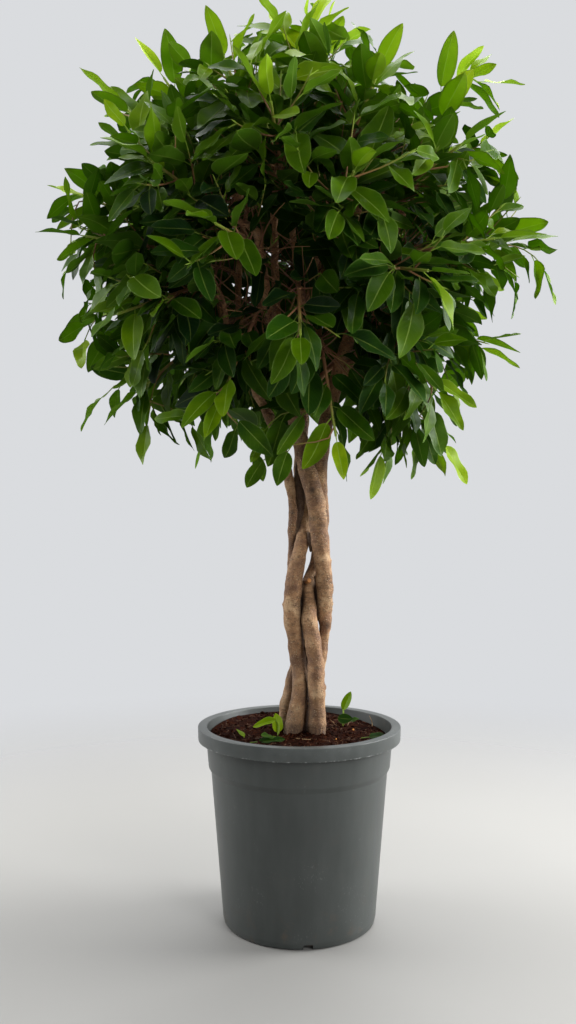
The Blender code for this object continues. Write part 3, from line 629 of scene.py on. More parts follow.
def shootPlans():
    # Where each leafy shoot starts and ends, and which way it sets out
    plans = []
    for index in range(crown["shoots"]):
        draw = random.Random(crown["seed"] + index)
        height = 1 - (index + 0.5) / crown["shoots"] * (1 + crown["low"])
        turn = index * goldenTurn
        level = math.sqrt(1 - height * height)
        direction = Vector((math.cos(turn) * level, math.sin(turn) * level, height))
        low = max(0.0, -height - crown["lowFrom"])
        start, end = (crownPoint(direction, share, draw.uniform(-drift, drift))
                      for share, drift in (crown["start"], crown["end"]))
        plans.append({"index": index, "start": start, "end": end - up * crown["lowHang"] * low,
                      "direction": direction, "lift": crown["lift"] * (1 - 2 * low), "sprig": False})
    free = list(plans)
    for tip in sprigTips:
        out = Vector(tip) - crown["centre"]
        way = out.normalized()
        sprig = min(free, key=lambda plan: plan["direction"].angle(way))
        free.remove(sprig)
        end = crown["centre"] + way * (out.length - leaf["length"][1])
        sprig.update(direction=way, end=end, start=end - way * crown["sprigTwig"], sprig=True)
    for plan in plans:
        plan["heading"] = ((plan["end"] - plan["start"]).normalized() + up * plan["lift"]).normalized()
    return plans


def chooseLimbs(plans):
    # Every limb's end goes on to its nearest leafy shoot, and each other shoot is fed by the
    # nearest place on a limb, some way back along it
    limbs = {(name, number): smoothLine(route, wood["forkRing"] if number else wood["ring"])
             for name, (stem, forks) in stems.items() for number, route in enumerate([stem] + forks)}
    waiting = set(range(len(plans)))
    for key, line in limbs.items():
        end = line[-1][0]
        nearest = min(waiting, key=lambda i: (plans[i]["start"] - end).length)
        waiting.remove(nearest)
        plans[nearest].update(limb=(*key, len(line) - 1), atEnd=True)
    for i in sorted(waiting):
        start = plans[i]["start"]
        distance, key, k = min(((start - place).length, key, k) for key, line in limbs.items()
                               for k, (place, radius) in enumerate(line)
                               if place.z > wood["branchFloor"] and k > 0)
        line = limbs[key]
        back = distance * wood["back"]
        while k > 1 and line[k - 1][0].z > wood["branchFloor"] and back > 0:
            back -= (line[k][0] - line[k - 1][0]).length
            k -= 1
        plans[i].update(limb=(*key, k), atEnd=False)
    for plan in plans:
        name, number, k = plan["limb"]
        line = limbs[name, number]
        place, thick = line[k]
        along = (place - line[k - 1][0]).normalized()
        base = thick if plan["atEnd"] else min(wood["branchRadius"], thick * 0.8)
        turnedIn = plan["start"] - plan["heading"] * wood["branchEnd"]
        count = max(6, round((turnedIn - place).length / (9 * mm)))
        points = bend(place, along, turnedIn, plan["heading"], count) + [plan["start"]]
        plan["rod"] = tapering(points, base, wood["tipRadius"])


def leafFrame(plan, line, index, quarterTurns):
    # Where one of the shoot's own leaves sits and how it lies, as in the solid
    draw = random.Random(1000 * crown["seed"] + 100 * plan["index"] + index)
    last = index == crown["leaves"] - 1
    first, following = crown["firstLeaf"], crown["nextShare"]
    share = crown["lastShare"] if last else first + (following - first) * index / (crown["leaves"] - 2)
    (start, _), (end, _) = line
    way = (end - start).normalized()
    place = start + (end - start) * share
    quarter = round((plan["index"] + index * goldenTurn) / (math.pi / 2)) + quarterTurns
    side = Quaternion(way, math.pi / 4 + quarter * math.pi / 2) @ way.cross(up).normalized()
    spread = leaf["spread"][0] + leaf["spread"][1] * (1 - share)
    spread = 0 if last else math.radians(spread + draw.uniform(-leaf["spreadDrift"], leaf["spreadDrift"]))
    lean = 0 if last else max(spread, leaf["stalkLean"])
    stalk = way * math.cos(lean) + side * math.sin(lean)
    droop = 0 if last else droopAt(plan["direction"])
    axis = way * math.cos(spread) + side * math.sin(spread) - up * droop * draw.uniform(*leaf["droopDrift"])
    axis.normalize()
    face = facing(axis, plan["direction"], side, draw.uniform(-leaf["roll"], leaf["roll"]))
    size = draw.uniform(0, 1)
    length, width = between(leaf["length"], size), between(leaf["width"], size)
    if last:
        length *= leaf["lastLeaf"][0]
        width *= leaf["lastLeaf"][1]
    return place, stalk, axis, face, length, width


def droopAt(direction):
    return next(hang for height, hang in leaf["droop"] if direction.z > height)


def facing(axis, direction, side, roll):
    # The way that a blade's upper side faces: outwards, up and away from its twig, square to its axis
    outwards, upwards, sideways = leaf["faces"]
    face = direction * outwards + up * upwards + side * sideways
    face -= axis * face.dot(axis)
    return Quaternion(axis, math.radians(roll)) @ face.normalized()


def newPart():
    # An empty bmesh with what the plant's materials read: the blade's map, and each
    # face's tone and underside, and each point's age
    bm = bmesh.new()
    bm.loops.layers.uv.new("leafMap")
    bm.faces.layers.float.new("under")
    bm.faces.layers.float.new("tone")
    bm.verts.layers.float.new("age")
    return bm


def absorb(bm, part):
    # Takes a small part into a piece's bmesh
    mesh = toMesh(part)
    bm.from_mesh(mesh)
    bpy.data.meshes.remove(mesh)


def sweep(line, sides, material=0, ages=(1, 1), tone=0.5, shape=None):
    # A closed rod along a line of (place, radius): a circle extruded from place to place.
    # shape gives how far the bark swells at a place, from the way out of the rod there.
    bm = newPart()
    ageLayer = bm.verts.layers.float["age"]
    toneLayer = bm.faces.layers.float["tone"]
    leafMap = bm.loops.layers.uv["leafMap"]
    count = len(line)
    ways = [(line[min(i + 1, count - 1)][0] - line[max(i - 1, 0)][0]).normalized() for i in range(count)]
    across = ways[0].orthogonal().normalized()
    ring = bmesh.ops.create_circle(bm, cap_ends=True, segments=sides, radius=1)["verts"]
    for i, (place, radius) in enumerate(line):
        if i:
            edges = [bm.edges.get((ring[j], ring[j - 1])) for j in range(sides)]
            grown = bmesh.ops.extrude_edge_only(bm, edges=edges)["geom"]
            fresh = {item for item in grown if isinstance(item, bmesh.types.BMVert)}
            ring = [next(edge.other_vert(v) for edge in v.link_edges if edge.other_vert(v) in fresh)
                    for v in ring]
            across = ways[i - 1].rotation_difference(ways[i]) @ across
        upwards = ways[i].cross(across)
        for j, v in enumerate(ring):
            turn = j * math.tau / sides
            out = across * math.cos(turn) + upwards * math.sin(turn)
            swell = shape(place + out * radius, out) if shape else 0
            v.co = place + out * (radius + swell)
            v[ageLayer] = ages[0] + (ages[1] - ages[0]) * i / (count - 1)
    edges = [bm.edges.get((ring[j], ring[j - 1])) for j in range(sides)]
    bmesh.ops.edgeloop_fill(bm, edges=edges)
    bmesh.ops.recalc_face_normals(bm, faces=bm.faces)
    for face in bm.faces:
        face.material_index = material
        face[toneLayer] = tone
        for loop in face.loops:
            loop[leafMap].uv = (0.5, 0)
    return bm


# The blade of a leaf, in a few shapes: how far it arches, folds, waves, twists and sways
blade = {
    "shapes": 12,
    "rows": 12, "columns": 2,   # 48 faces with the lower side
    "swell": 0.55, "taper": 0.78,       # how fast the outline widens from its base and narrows to its tip
    "ratio": 0.42,              # width against length
    "thickness": 0.006,         # against length: half a millimetre
    "ripples": 9, "flatter": 0.45,      # waves along the margin, and how much the fold opens at the tip
    "forms": ((-0.06, 0.24), (0.14, 0.46), (0.0, 0.07), (-30, 30), (-0.07, 0.07)),
    "seed": 5,
}


def makeBlade(number):
    # A blade one unit long from the end of its stalk along +Y, with its upper side towards +Z
    draw = random.Random(number + blade["seed"])
    arch, fold, wave, twist, sway = (draw.uniform(*form) for form in blade["forms"])
    phase = draw.uniform(0, math.tau)
    swell, taper = blade["swell"], blade["taper"]
    widest = swell / (swell + taper)
    widestOutline = widest ** swell * (1 - widest) ** taper
    bm = newPart()
    bmesh.ops.create_grid(bm, x_segments=blade["columns"], y_segments=blade["rows"], size=0.5)
    leafMap = bm.loops.layers.uv["leafMap"]
    underLayer = bm.faces.layers.float["under"]
    spots = {}
    for v in bm.verts:
        side = 2 * v.co.x
        # the rows lie closer together at both ends
        along = min(1.0, max(0.0, (1 - math.cos(math.pi * (v.co.y + 0.5))) / 2))
        wide = along ** swell * (1 - along) ** taper / widestOutline
        spots[v] = ((side + 1) / 2, along)
        half = wide * blade["ratio"] / 2
        bulge = abs(side) * (1.25 - 0.25 * abs(side))
        ripple = wave * math.sin(along * blade["ripples"] + phase + side) * abs(side) * wide
        place = Vector((side * half + sway * along * along, along * (1 - 0.3 * arch * along),
                        fold * half * bulge * (1 - blade["flatter"] * along) + ripple - arch * along * along))
        v.co = Matrix.Rotation(math.radians(twist) * along * along, 3, "Y") @ place
    for face in bm.faces:
        for loop in face.loops:
            loop[leafMap].uv = spots[loop.vert]
    inner = [v for v in bm.verts if not v.is_boundary]
    lower = bmesh.ops.duplicate(bm, geom=bm.verts[:] + bm.edges[:] + bm.faces[:])
    lowerFaces = [item for item in lower["geom"] if isinstance(item, bmesh.types.BMFace)]
    bmesh.ops.reverse_faces(bm, faces=lowerFaces)
    for v in inner:
        lower["vert_map"][v].co.z -= blade["thickness"]
    for face in lowerFaces:
        face[underLayer] = 1
    bmesh.ops.remove_doubles(bm, verts=bm.verts, dist=1e-6)
    return toMesh(bm, "blade")


blades = [makeBlade(number) for number in range(blade["shapes"])]
bladeFaces = [[tuple(face.vertices) for face in mesh.polygons] for mesh in blades]


def bladeMatrix(frameOfLeaf):
    place, stalk, axis, face, length, width = frameOfLeaf
    base = place + stalk * leaf["stalk"]
    columns = (axis.cross(face) * (width / blade["ratio"]), axis * length, face * length, base)
    return Matrix([[column[i] for column in columns] for i in range(3)] + [[0, 0, 0, 1]])


# Every added leaf keeps clear of the wood and of the leaves that are there already
cellSize = 0.09
boxMargin = 0.004
leafCells = {}
woodTrees = []


def cellOf(place):
    return tuple(math.floor(c / cellSize) for c in place)


def leafTree(matrix, number):
    return BVHTree.FromPolygons([matrix @ v.co for v in blades[number].vertices], bladeFaces[number])


def isFree(tree, middle):
    if any(tree.overlap(other) for other in woodTrees):
        return False
    x, y, z = cellOf(middle)
    return not any(tree.overlap(other) for i in (-1, 0, 1) for j in (-1, 0, 1) for k in (-1, 0, 1)
                   for other in leafCells.get((x + i, y + j, z + k), ()))


def inCadBox(matrix, number):
    places = [matrix @ v.co for v in blades[number].vertices]
    return all(low - boxMargin < place[i] < high + boxMargin for place in places
               for i, (low, high) in enumerate(zip(cadLow, cadHigh)))


def addLeaf(bm, frameOfLeaf, number, tone):
    # One leaf: its stalk bends from the twig into the blade
    place, stalk, axis, face, length, width = frameOfLeaf
    copy = blades[number].copy()
    copy.transform(bladeMatrix(frameOfLeaf))
    copy.attributes["tone"].data.foreach_set("value", [tone] * len(copy.polygons))
    bm.from_mesh(copy)
    bpy.data.meshes.remove(copy)
    base = place + stalk * leaf["stalk"]
    points = (place, base, base + axis * length * leaf["rib"])
    line = [(point, leaf["stalkRadius"] * taper) for point, taper in zip(points, leaf["stalkTaper"])]
    absorb(bm, sweep(line, 3, tone=tone))


# Side twigs fill each leafy shoot out: they leave its branch and its twig all round
sideTwig = {
    "count": 16,
    "along": (-1.0, 0.88),          # the shoot: below 0 is on the branch that carries it
    "onBranch": 0.5, "branchFrom": 0.25,    # the share of the branch that carries side twigs, and its start
    "size": (0.35, 0.5, 0.2),       # where the shoot starts, how much it grows along it, and its drift
    "length": (0.055, 0.120),
    "lean": (35, 62),
    "radius": (0.0013, 0.0008),
    "steps": 6,
    "leaves": (6, 9),
    "fewest": 2,                    # leaves, or the twig isn't grown
    "leafLength": (0.048, 0.086), "leafWidth": (0.42, 0.53),        # metres, and the share of the length
    "spread": (38, 66), "lastSpread": (8, 20), "droop": (0.5, 1.3), "roll": 38,
    "firstLeaf": 0.22, "leafShare": 0.70, "lastLeaf": 0.99,
    "tries": 3, "tryTurn": 1.2,     # other turns round the twig for a leaf that isn't free
    "outwards": 0.35, "rise": 0.35,         # how much it turns outwards and up as it grows
    "riseLost": 2.4,                # how much less it rises in the lower crown
    "stalkShare": 0.9,              # of a leaf's spread that its stalk takes
    "youngLoss": 0.22,              # how much shorter the youngest leaves are
    "edge": (0.86, 1.0),            # share of the crown's reach that its leaves stay in
    "sprigEdge": 0.03, "topEdge": -0.06,    # more for a sprig, less at the top
    "bud": ((-1, 0.8), (2, 1.1), (6, 0.7), (10, 0.1)),      # millimetres along it and radius
    "seed": 900,
}
# Twigs that hang or stand out of the crown's round: where each ends, and its number of leaves
strayTwig = {"length": 0.09, "below": 0.03, "hang": 0.1, "size": 0.8, "edge": 1.3}
strayTwigs = [((-0.290, -0.03, 0.800), 4), ((-0.040, -0.10, 0.750), 5), ((-0.070, -0.06, 0.715), 5),
              ((0.085, -0.06, 0.735), 5), ((0.125, -0.05, 0.715), 5), ((0.165, -0.08, 0.735), 5),
              ((0.212, -0.04, 0.730), 4), ((-0.325, -0.02, 0.885), 4), ((-0.350, -0.02, 1.000), 4),
              ((-0.300, -0.05, 0.930), 4), ((0.365, -0.03, 0.995), 6), ((-0.360, -0.02, 1.095), 4),
              ((-0.045, -0.09, 0.700), 6), ((-0.165, -0.06, 0.755), 6), ((-0.225, -0.05, 0.760), 5),
              ((0.280, -0.02, 1.265), 5)]
# Where the photograph looks past few leaves into the crown: middle and reach of each opening on the
# upright plane through the pot's axis, and the share of the leaves in front of it that grow
openings = [((-0.050, 0.985), (0.095, 0.100), 0.05), ((0.055, 0.809), (0.040, 0.120), 0.0),
            ((0.000, 0.735), (0.036, 0.060), 0.20), ((0.155, 1.067), (0.070, 0.045), 0.15)]
openingBack = 0.04


def inOpening(place, draw):
    # Whether a leaf there is left out, to keep an opening as the camera sees it
    x, y, z = camera["place"]
    scale = -y / (place.y - y)
    across, height = x + (place.x - x) * scale, z + (place.z - z) * scale
    for (left, level), (wide, tall), share in openings:
        if math.hypot((across - left) / wide, (height - level) / tall) < 1:
            return place.y < openingBack and draw.random() > share
    return False


# Leaf tones, with painted light and shade over the crown
leafToneAndLight = {
    "inside": 0.19, "outer": 0.36,      # in the crown's inner half, and how much more at its edge: partly old leaves inside, partly painted shade
    # painted light on top and to the right, painted shade below the middle and in front
    "top": 0.32, "foot": 0.12, "right": 0.06, "front": 0.16,
    "old": (0.22, 0.22),                # the share of old leaves, and how much darker they are
    "young": 0.42, "drift": 0.15,
}


def toneOf(place, young, draw):
    # Old leaves are darker and young ones at the tips brighter. Over that, painted light brightens the leaves
    # on top, to the right and at the crown's edge, and painted shade darkens those inside, below the middle
    # and in front
    out = shareOfReach(place)
    tone = leafToneAndLight["inside"] + leafToneAndLight["outer"] * max(0, out.length - 0.5) / 0.5
    # painted light on top and to the right, painted shade below the crown's middle and on the leaves in front
    tone += leafToneAndLight["top"] * max(0, out.z) + leafToneAndLight["foot"] * min(0, out.z) + leafToneAndLight["right"] * out.x
    tone -= leafToneAndLight["front"] * max(0, -out.y) * (1 - max(0, out.z))
    many, darker = leafToneAndLight["old"]
    tone -= darker * (draw.random() < many)
    drift = draw.uniform(-leafToneAndLight["drift"], leafToneAndLight["drift"])
    return min(1.0, max(0.0, tone + leafToneAndLight["young"] * young ** 2 + drift))


def tryLeaf(frameOfLeaf, young, draw, limit):
    # What addLeaf needs for the leaf, with its tree, if it lies free of all else
    number = draw.randrange(blade["shapes"])
    matrix = bladeMatrix(frameOfLeaf)
    middle = matrix @ Vector((0, 0.5, 0))
    if reachOf(matrix @ Vector((0, 1, 0))) > limit or not inCadBox(matrix, number) or inOpening(middle, draw):
        return None
    tree = leafTree(matrix, number)
    if not isFree(tree, middle):
        return None
    leafCells.setdefault(cellOf(middle), []).append(tree)
    return frameOfLeaf, number, toneOf(middle, young, draw), tree, cellOf(middle)


def addOwnLeaves(bm, plan, line, node):
    # The leaves that the solid shoot has, each at the quarter turn that it took there
    cadMesh = frame["nodes"][node].data
    spots = KDTree(len(cadMesh.vertices))
    for v in cadMesh.vertices:
        spots.insert(v.co, v.index)
    spots.balance()
    draw = random.Random(crown["seed"] * 7 + plan["index"])
    found = 0
    for index in range(crown["leaves"]):
        for quarterTurns in range(leaf["turns"]):
            frameOfLeaf = leafFrame(plan, line, index, quarterTurns)
            place, stalk, axis, face, length, width = frameOfLeaf
            tip = place + stalk * leaf["stalk"] + axis * length - face * leaf["arch"] * length
            if spots.find(tip)[2] < 0.5 * mm:
                number = draw.randrange(blade["shapes"])
                matrix = bladeMatrix(frameOfLeaf)
                middle = matrix @ Vector((0, 0.5, 0))
                leafCells.setdefault(cellOf(middle), []).append(leafTree(matrix, number))
                addLeaf(bm, frameOfLeaf, number, toneOf(middle, index / crown["leaves"], draw))
                found += 1
                break
    return found


def growTwig(bm, line, count, turn, size, draw, out, limit):
    # A thin twig with its own alternate leaves and a pointed bud, as far as its last leaf
    droop = droopAt(out)
    grown = []
    for index in range(count):
        last = index == count - 1
        share = sideTwig["lastLeaf"] if last else (
            sideTwig["firstLeaf"] + sideTwig["leafShare"] * index / (count - 1))
        place, along, _ = pointAt(line, share)
        for attempt in range(sideTwig["tries"]):
            around = turn + index * goldenTurn + attempt * sideTwig["tryTurn"]
            outward = Quaternion(along, around) @ along.orthogonal().normalized()
            spread = math.radians(draw.uniform(*sideTwig["lastSpread" if last else "spread"]))
            lean = spread * sideTwig["stalkShare"]
            stalk = (along * math.cos(lean) + outward * math.sin(lean)).normalized()
            axis = along * math.cos(spread) + outward * math.sin(spread)
            axis = (axis - up * droop * draw.uniform(*sideTwig["droop"])).normalized()
            face = facing(axis, out, outward, draw.uniform(-sideTwig["roll"], sideTwig["roll"]))
            young = (index + 1) / count * size
            length = draw.uniform(*sideTwig["leafLength"]) * (1 - sideTwig["youngLoss"] * young)
            width = length * draw.uniform(*sideTwig["leafWidth"])
            made = tryLeaf((place, stalk, axis, face, length, width), young, draw, limit)
            if made:
                grown.append((share, made))
                break
    enough = len(grown) >= sideTwig["fewest"]
    for share, (frameOfLeaf, number, tone, tree, cell) in grown:
        if enough:
            addLeaf(bm, frameOfLeaf, number, tone)
        else:
            leafCells[cell].remove(tree)
    if not enough:
        return 0
    tip = min(1.0, grown[-1][0] + 0.02)
    points = [pointAt(line, tip * i / sideTwig["steps"]) for i in range(sideTwig["steps"] + 1)]
    age = 0.25 + 0.6 * (1 - size)
    rod = [(place, radius) for place, way, radius in points]
    absorb(bm, sweep(rod, 5, 1, (min(1.0, age + 0.4), age * 0.4)))
    addBud(bm, *points[-1][:2])
    return len(grown)


def sideTwigLine(start, way, turn, size, draw, plan):
    # Where a side twig runs: away from its shoot, then more and more outwards and up
    lean = math.radians(draw.uniform(*sideTwig["lean"]))
    side = Quaternion(way, turn) @ way.orthogonal().normalized()
    heading = (way * math.cos(lean) + side * math.sin(lean)).normalized()
    low = max(0.0, -plan["direction"].z - crown["lowFrom"])
    rise = sideTwig["rise"] * (1 - sideTwig["riseLost"] * low)
    length = between(sideTwig["length"], size)
    end = (heading + plan["direction"] * sideTwig["outwards"] + up * rise).normalized()
    points = bend(start, heading, start + (heading + end).normalized() * length, end, sideTwig["steps"])
    return tapering(points, *sideTwig["radius"])


def addBud(bm, place, way):
    # The pointed sheath at a twig's tip
    line = [(place + way * along * mm, thick * mm) for along, thick in sideTwig["bud"]]
    absorb(bm, sweep(line, 4, 1, (0, 0)))


def makeShoots(plans):
    # Each leafy shoot: its twig and own leaves first, for all shoots, and then the side twigs
    shoots = []
    own = 0
    for plan in plans:
        node = f"leafy_shoot_{plan['index'] + 1:02d}"
        bm = newPart()
        start = plan["start"] + plan["heading"] * clearance
        end = start + plan["heading"] * (plan["end"] - plan["start"]).length
        own += addOwnLeaves(bm, plan, [(start, crown["twigRadius"]), (end, crown["twigTip"])], node)
        points = [start.lerp(end, i / crown["twigSteps"]) for i in range(crown["twigSteps"] + 1)]
        twig = tapering(points, crown["twigRadius"], crown["twigTip"])
        absorb(bm, sweep(twig, 8, 1, (0.95, 0.1)))
        addBud(bm, end, plan["heading"])
        shoots.append((plan, node, bm, twig))
    more = 0
    atStart, growth, drift = sideTwig["size"]
    for plan, node, bm, twig in shoots:
        draw = random.Random(sideTwig["seed"] + plan["index"])
        for j in range(sideTwig["count"]):
            share = between(sideTwig["along"], (j + draw.random()) / sideTwig["count"])
            onBranch = max(sideTwig["branchFrom"], 1 + share * sideTwig["onBranch"])
            place, way, _ = pointAt(twig, share) if share >= 0 else pointAt(plan["rod"], onBranch)
            size = min(1.0, max(0.0, atStart + growth * share + draw.uniform(-drift, drift)))
            limit = draw.uniform(*sideTwig["edge"])
            higher = max(0, plan["direction"].z)
            limit += sideTwig["sprigEdge"] if plan["sprig"] else sideTwig["topEdge"] * higher
            turn = plan["index"] + j * goldenTurn
            line = sideTwigLine(place, way, turn, size, draw, plan)
            count = draw.randint(*sideTwig["leaves"])
            more += growTwig(bm, line, count, turn, size, draw, plan["direction"], limit)
    draw = random.Random(sideTwig["seed"] - 1)
    for number, (end, count) in enumerate(strayTwigs):
        end = Vector(end)
        # the place on a shoot's twig that is about its length away, and a little above its end
        _, k, i = min((abs((place - end).length - strayTwig["length"])
                       + max(0.0, end.z + strayTwig["below"] - place.z), k, i)
                      for k, (plan, node, bm, twig) in enumerate(shoots)
                      for i, (place, radius) in enumerate(twig))
        plan, node, bm, twig = shoots[k]
        start = twig[i][0]
        way = (end - start - up * strayTwig["hang"]).normalized()
        points = bend(start, plan["heading"], end, way, sideTwig["steps"])
        line = tapering(points, *sideTwig["radius"])
        more += growTwig(bm, line, count, number * goldenTurn, strayTwig["size"], draw, plan["direction"],
                         strayTwig["edge"])
    for plan, node, bm, twig in shoots:
        addPiece(node.replace("leafy_shoot", "leafyShoot"), bm, plantFinish, [node], leaf["sharp"])
    print("leaves", own, "of the solids and", more, "more")


# Bare twigs inside the crown, where the old leaves have dropped
bareTwig = {
    "count": 12,            # on each branch
    "along": (0.15, 0.95),
    "length": (0.050, 0.130),
    "lean": (28, 70), "outwards": 0.3, "wander": 0.5,
    "radius": (0.0013, 0.0005),
    "steps": 7,
    "edge": 0.80,
    "seed": 300,
}


def makeBareTwigs(plans):
    bm = newPart()
    for plan in plans:
        draw = random.Random(bareTwig["seed"] + plan["index"])
        for j in range(bareTwig["count"]):
            share = between(bareTwig["along"], (j + draw.random()) / bareTwig["count"])
            place, way, _ = pointAt(plan["rod"], share)
            lean = math.radians(draw.uniform(*bareTwig["lean"]))
            side = Quaternion(way, plan["index"] + j * goldenTurn) @ way.orthogonal().normalized()
            heading = way * math.cos(lean) + side * math.sin(lean)
            length = draw.uniform(*bareTwig["length"])
            wander = Vector([draw.uniform(-1, 1) for i in range(3)])
            end = heading + plan["direction"] * bareTwig["outwards"] + wander * bareTwig["wander"]
            end.normalize()
            tip = place + (heading + end).normalized() * length
            points = bend(place, heading, tip, end, bareTwig["steps"])
            if reachOf(points[-1]) < bareTwig["edge"]:
                absorb(bm, sweep(tapering(points, *bareTwig["radius"]), 5, 1, (1.0, 0.7)))
    addPiece("bareTwigs", bm, plantFinish)
    print("bare twigs done")


# Bark relief on the stems, with knots and scars where the photograph shows them
bark = {
    "ring": 0.0032, "sides": 26,
    "forkRing": 0.005, "forkSides": 12,
    "rodSides": 8, "pressedSides": 12,
    "collar": (0.55, 12 * mm),          # how much thicker a branch is where it leaves its limb, and its reach
    "lump": (0.0022, 1 / 0.026),        # height of the slow swellings, and their number to the metre
    "knobs": (0.0012, 1 / 0.010),       # of the smaller ones
    "ripple": (0.00016, 1 / 0.004),     # of the rings across the stem
    "flare": (0.0022, 0.020),           # of each foot: its reach and height
    "knotTurn": 0.012,                  # a stem's radius where a knot's width is worked out from its turn
    "knots": [  # stem, height, compass turn in degrees, radius, rise and darkness
        ("stem_front", 0.655, -95, 0.0045, -0.0006, 0.9),
        ("stem_front", 0.480, -8, 0.0034, 0.0016, 0.2),
        ("stem_front", 0.547, 5, 0.0030, 0.0016, 0.2),
        ("stem_front", 0.447, -70, 0.0060, -0.0012, 0.6),
        ("stem_front", 0.645, -60, 0.0110, 0.0008, 0.2),
        ("stem_back", 0.480, 186, 0.0030, 0.0018, 0.3),
        ("stem_back", 0.520, -60, 0.0035, -0.0004, 0.5),
        ("stem_right", 0.356, -5, 0.0036, 0.0024, 0.2),
        ("stem_right", 0.387, -88, 0.0024, -0.0006, 0.7),
        ("stem_right", 0.430, -110, 0.0030, 0.0008, 0.3),
        ("stem_left", 0.620, -100, 0.0040, -0.0008, 0.6),
    ],
    # wood that the stems' pressure has grown between them: stem, then centre line and radius in cm
    "pressed": [
        ("stem_back", [(0.75, 0.75, 51.5, 0.30), (0.65, 0.70, 49.5, 0.75), (0.75, 0.70, 46, 0.85),
                       (1.0, 0.60, 43.5, 0.40)]),
        ("stem_right", [(2.5, 0.55, 52.3, 0.25), (2.75, 0.60, 49.5, 0.60), (2.85, 0.55, 46.8, 0.50),
                        (2.6, 0.30, 45.4, 0.25)]),
        ("stem_back", [(0.9, 0.60, 42.5, 0.40), (0.9, 0.60, 39, 0.80), (1.1, 0.45, 34, 0.75),
                       (1.1, 0.20, 29, 0.65), (1.0, 0.10, 26, 0.60)]),
        ("stem_back", [(1.75, -0.90, 56.0, 0.22), (1.75, -0.90, 57.3, 0.50), (1.65, -0.90, 59.0, 0.45)]),
        ("stem_left", [(-0.2, 0.60, 70.0, 0.30), (-0.05, 0.70, 67, 0.85), (0.1, 0.90, 63, 0.85),
                       (-0.1, 1.00, 59, 0.80), (-0.3, 1.00, 56, 0.35)]),
    ],
    # painted shade on the pressed wood between the stems, and its reach against the wood's radius
    "pressedShade": 0.75, "pressedReach": 1.2,
    "cleftDirtAndShade": (0.90, 0.0048),            # painted shade, with some dirt, where stems meet: its darkness, and its reach from the other stem
    # the stub of a sawn shoot: its stem, centre line and radius in cm, and the reach of its pale end
    "stub": ("stem_back", [(1.00, 0.00, 51.2, 0.34), (1.25, -0.70, 51.4, 0.34), (1.50, -1.35, 51.7, 0.30)]),
    "sawnReach": 0.009,
}


def barkShape(name):
    # How far a stem's bark swells at a place: slow lumps, knobs, rings, the foot's flare and the knots
    knots = [(height, math.radians(turn), radius, rise) for stem, height, turn, radius, rise, dark
             in bark["knots"] if stem == name]
    (lump, lumps), (knob, knobs), (ripple, ripples) = bark["lump"], bark["knobs"], bark["ripple"]
    flare, flareHeight = bark["flare"]

    def shape(place, out):
        swell = lump * noise.noise(place * lumps) + knob * noise.noise(place * knobs)
        above = max(0.0, place.z - soil["level"])
        swell += flare * math.exp(-above / flareHeight) * (0.7 + 0.6 * noise.noise(out * 1.1))
        swell += ripple * noise.noise(Vector((place.x * 60, place.y * 60, place.z * ripples)))
        for height, turn, radius, rise in knots:
            sideways = math.remainder(math.atan2(out.y, out.x) - turn, math.tau) * bark["knotTurn"]
            away = Vector((place.z - height, sideways))
            swell += rise * math.exp(-(away.length / radius) ** 2)
        return swell
    return shape


def roundCorners(points, radius, count=4):
    # The same outline with its corners rounded
    line = [Vector(points[0])]
    for before, corner, after in zip(points, points[1:], points[2:]):
        before, corner, after = Vector(before), Vector(corner), Vector(after)
        reach = min(radius, (before - corner).length * 0.45, (after - corner).length * 0.45)
        a = corner + (before - corner).normalized() * reach
        b = corner + (after - corner).normalized() * reach
        for i in range(count + 1):
            t = i / count
            line.append(a * (1 - t) ** 2 + corner * 2 * t * (1 - t) + b * t * t)
    return line + [Vector(points[-1])]


def spun(outline, steps):
    # A turned shape from an outline of (radius, height) that starts and ends on the axis
    bm = bmesh.new()
    verts = [bm.verts.new((radius, 0, height)) for radius, height in outline]
    edges = [bm.edges.new(pair) for pair in zip(verts, verts[1:])]
    bmesh.ops.spin(bm, geom=verts + edges, axis=(0, 0, 1), cent=(0, 0, 0), angle=math.tau,
                   steps=steps, use_merge=True)
    bmesh.ops.remove_doubles(bm, verts=bm.verts, dist=1e-6)
    bmesh.ops.recalc_face_normals(bm, faces=bm.faces)
    return bm


def combined(body, others, operation):
    # The body joined with, or cut by, all the others
    obj = newObject("body", body)
    group = bpy.data.collections.new("others")
    bpy.context.scene.collection.children.link(group)
    for other in others:
        group.objects.link(bpy.data.objects.new("other", other))
    change = obj.modifiers.new("change", "BOOLEAN")
    change.operation = operation
    change.operand_type = "COLLECTION"
    change.collection = group
    bpy.context.view_layer.update()
    mesh = bpy.data.meshes.new_from_object(obj.evaluated_get(bpy.context.evaluated_depsgraph_get()))
    for item in [obj] + list(group.objects):
        bpy.data.objects.remove(item)
    bpy.data.collections.remove(group)
    bm = bmesh.new()
    bm.from_mesh(mesh)
    bpy.data.meshes.remove(mesh)
    return bm


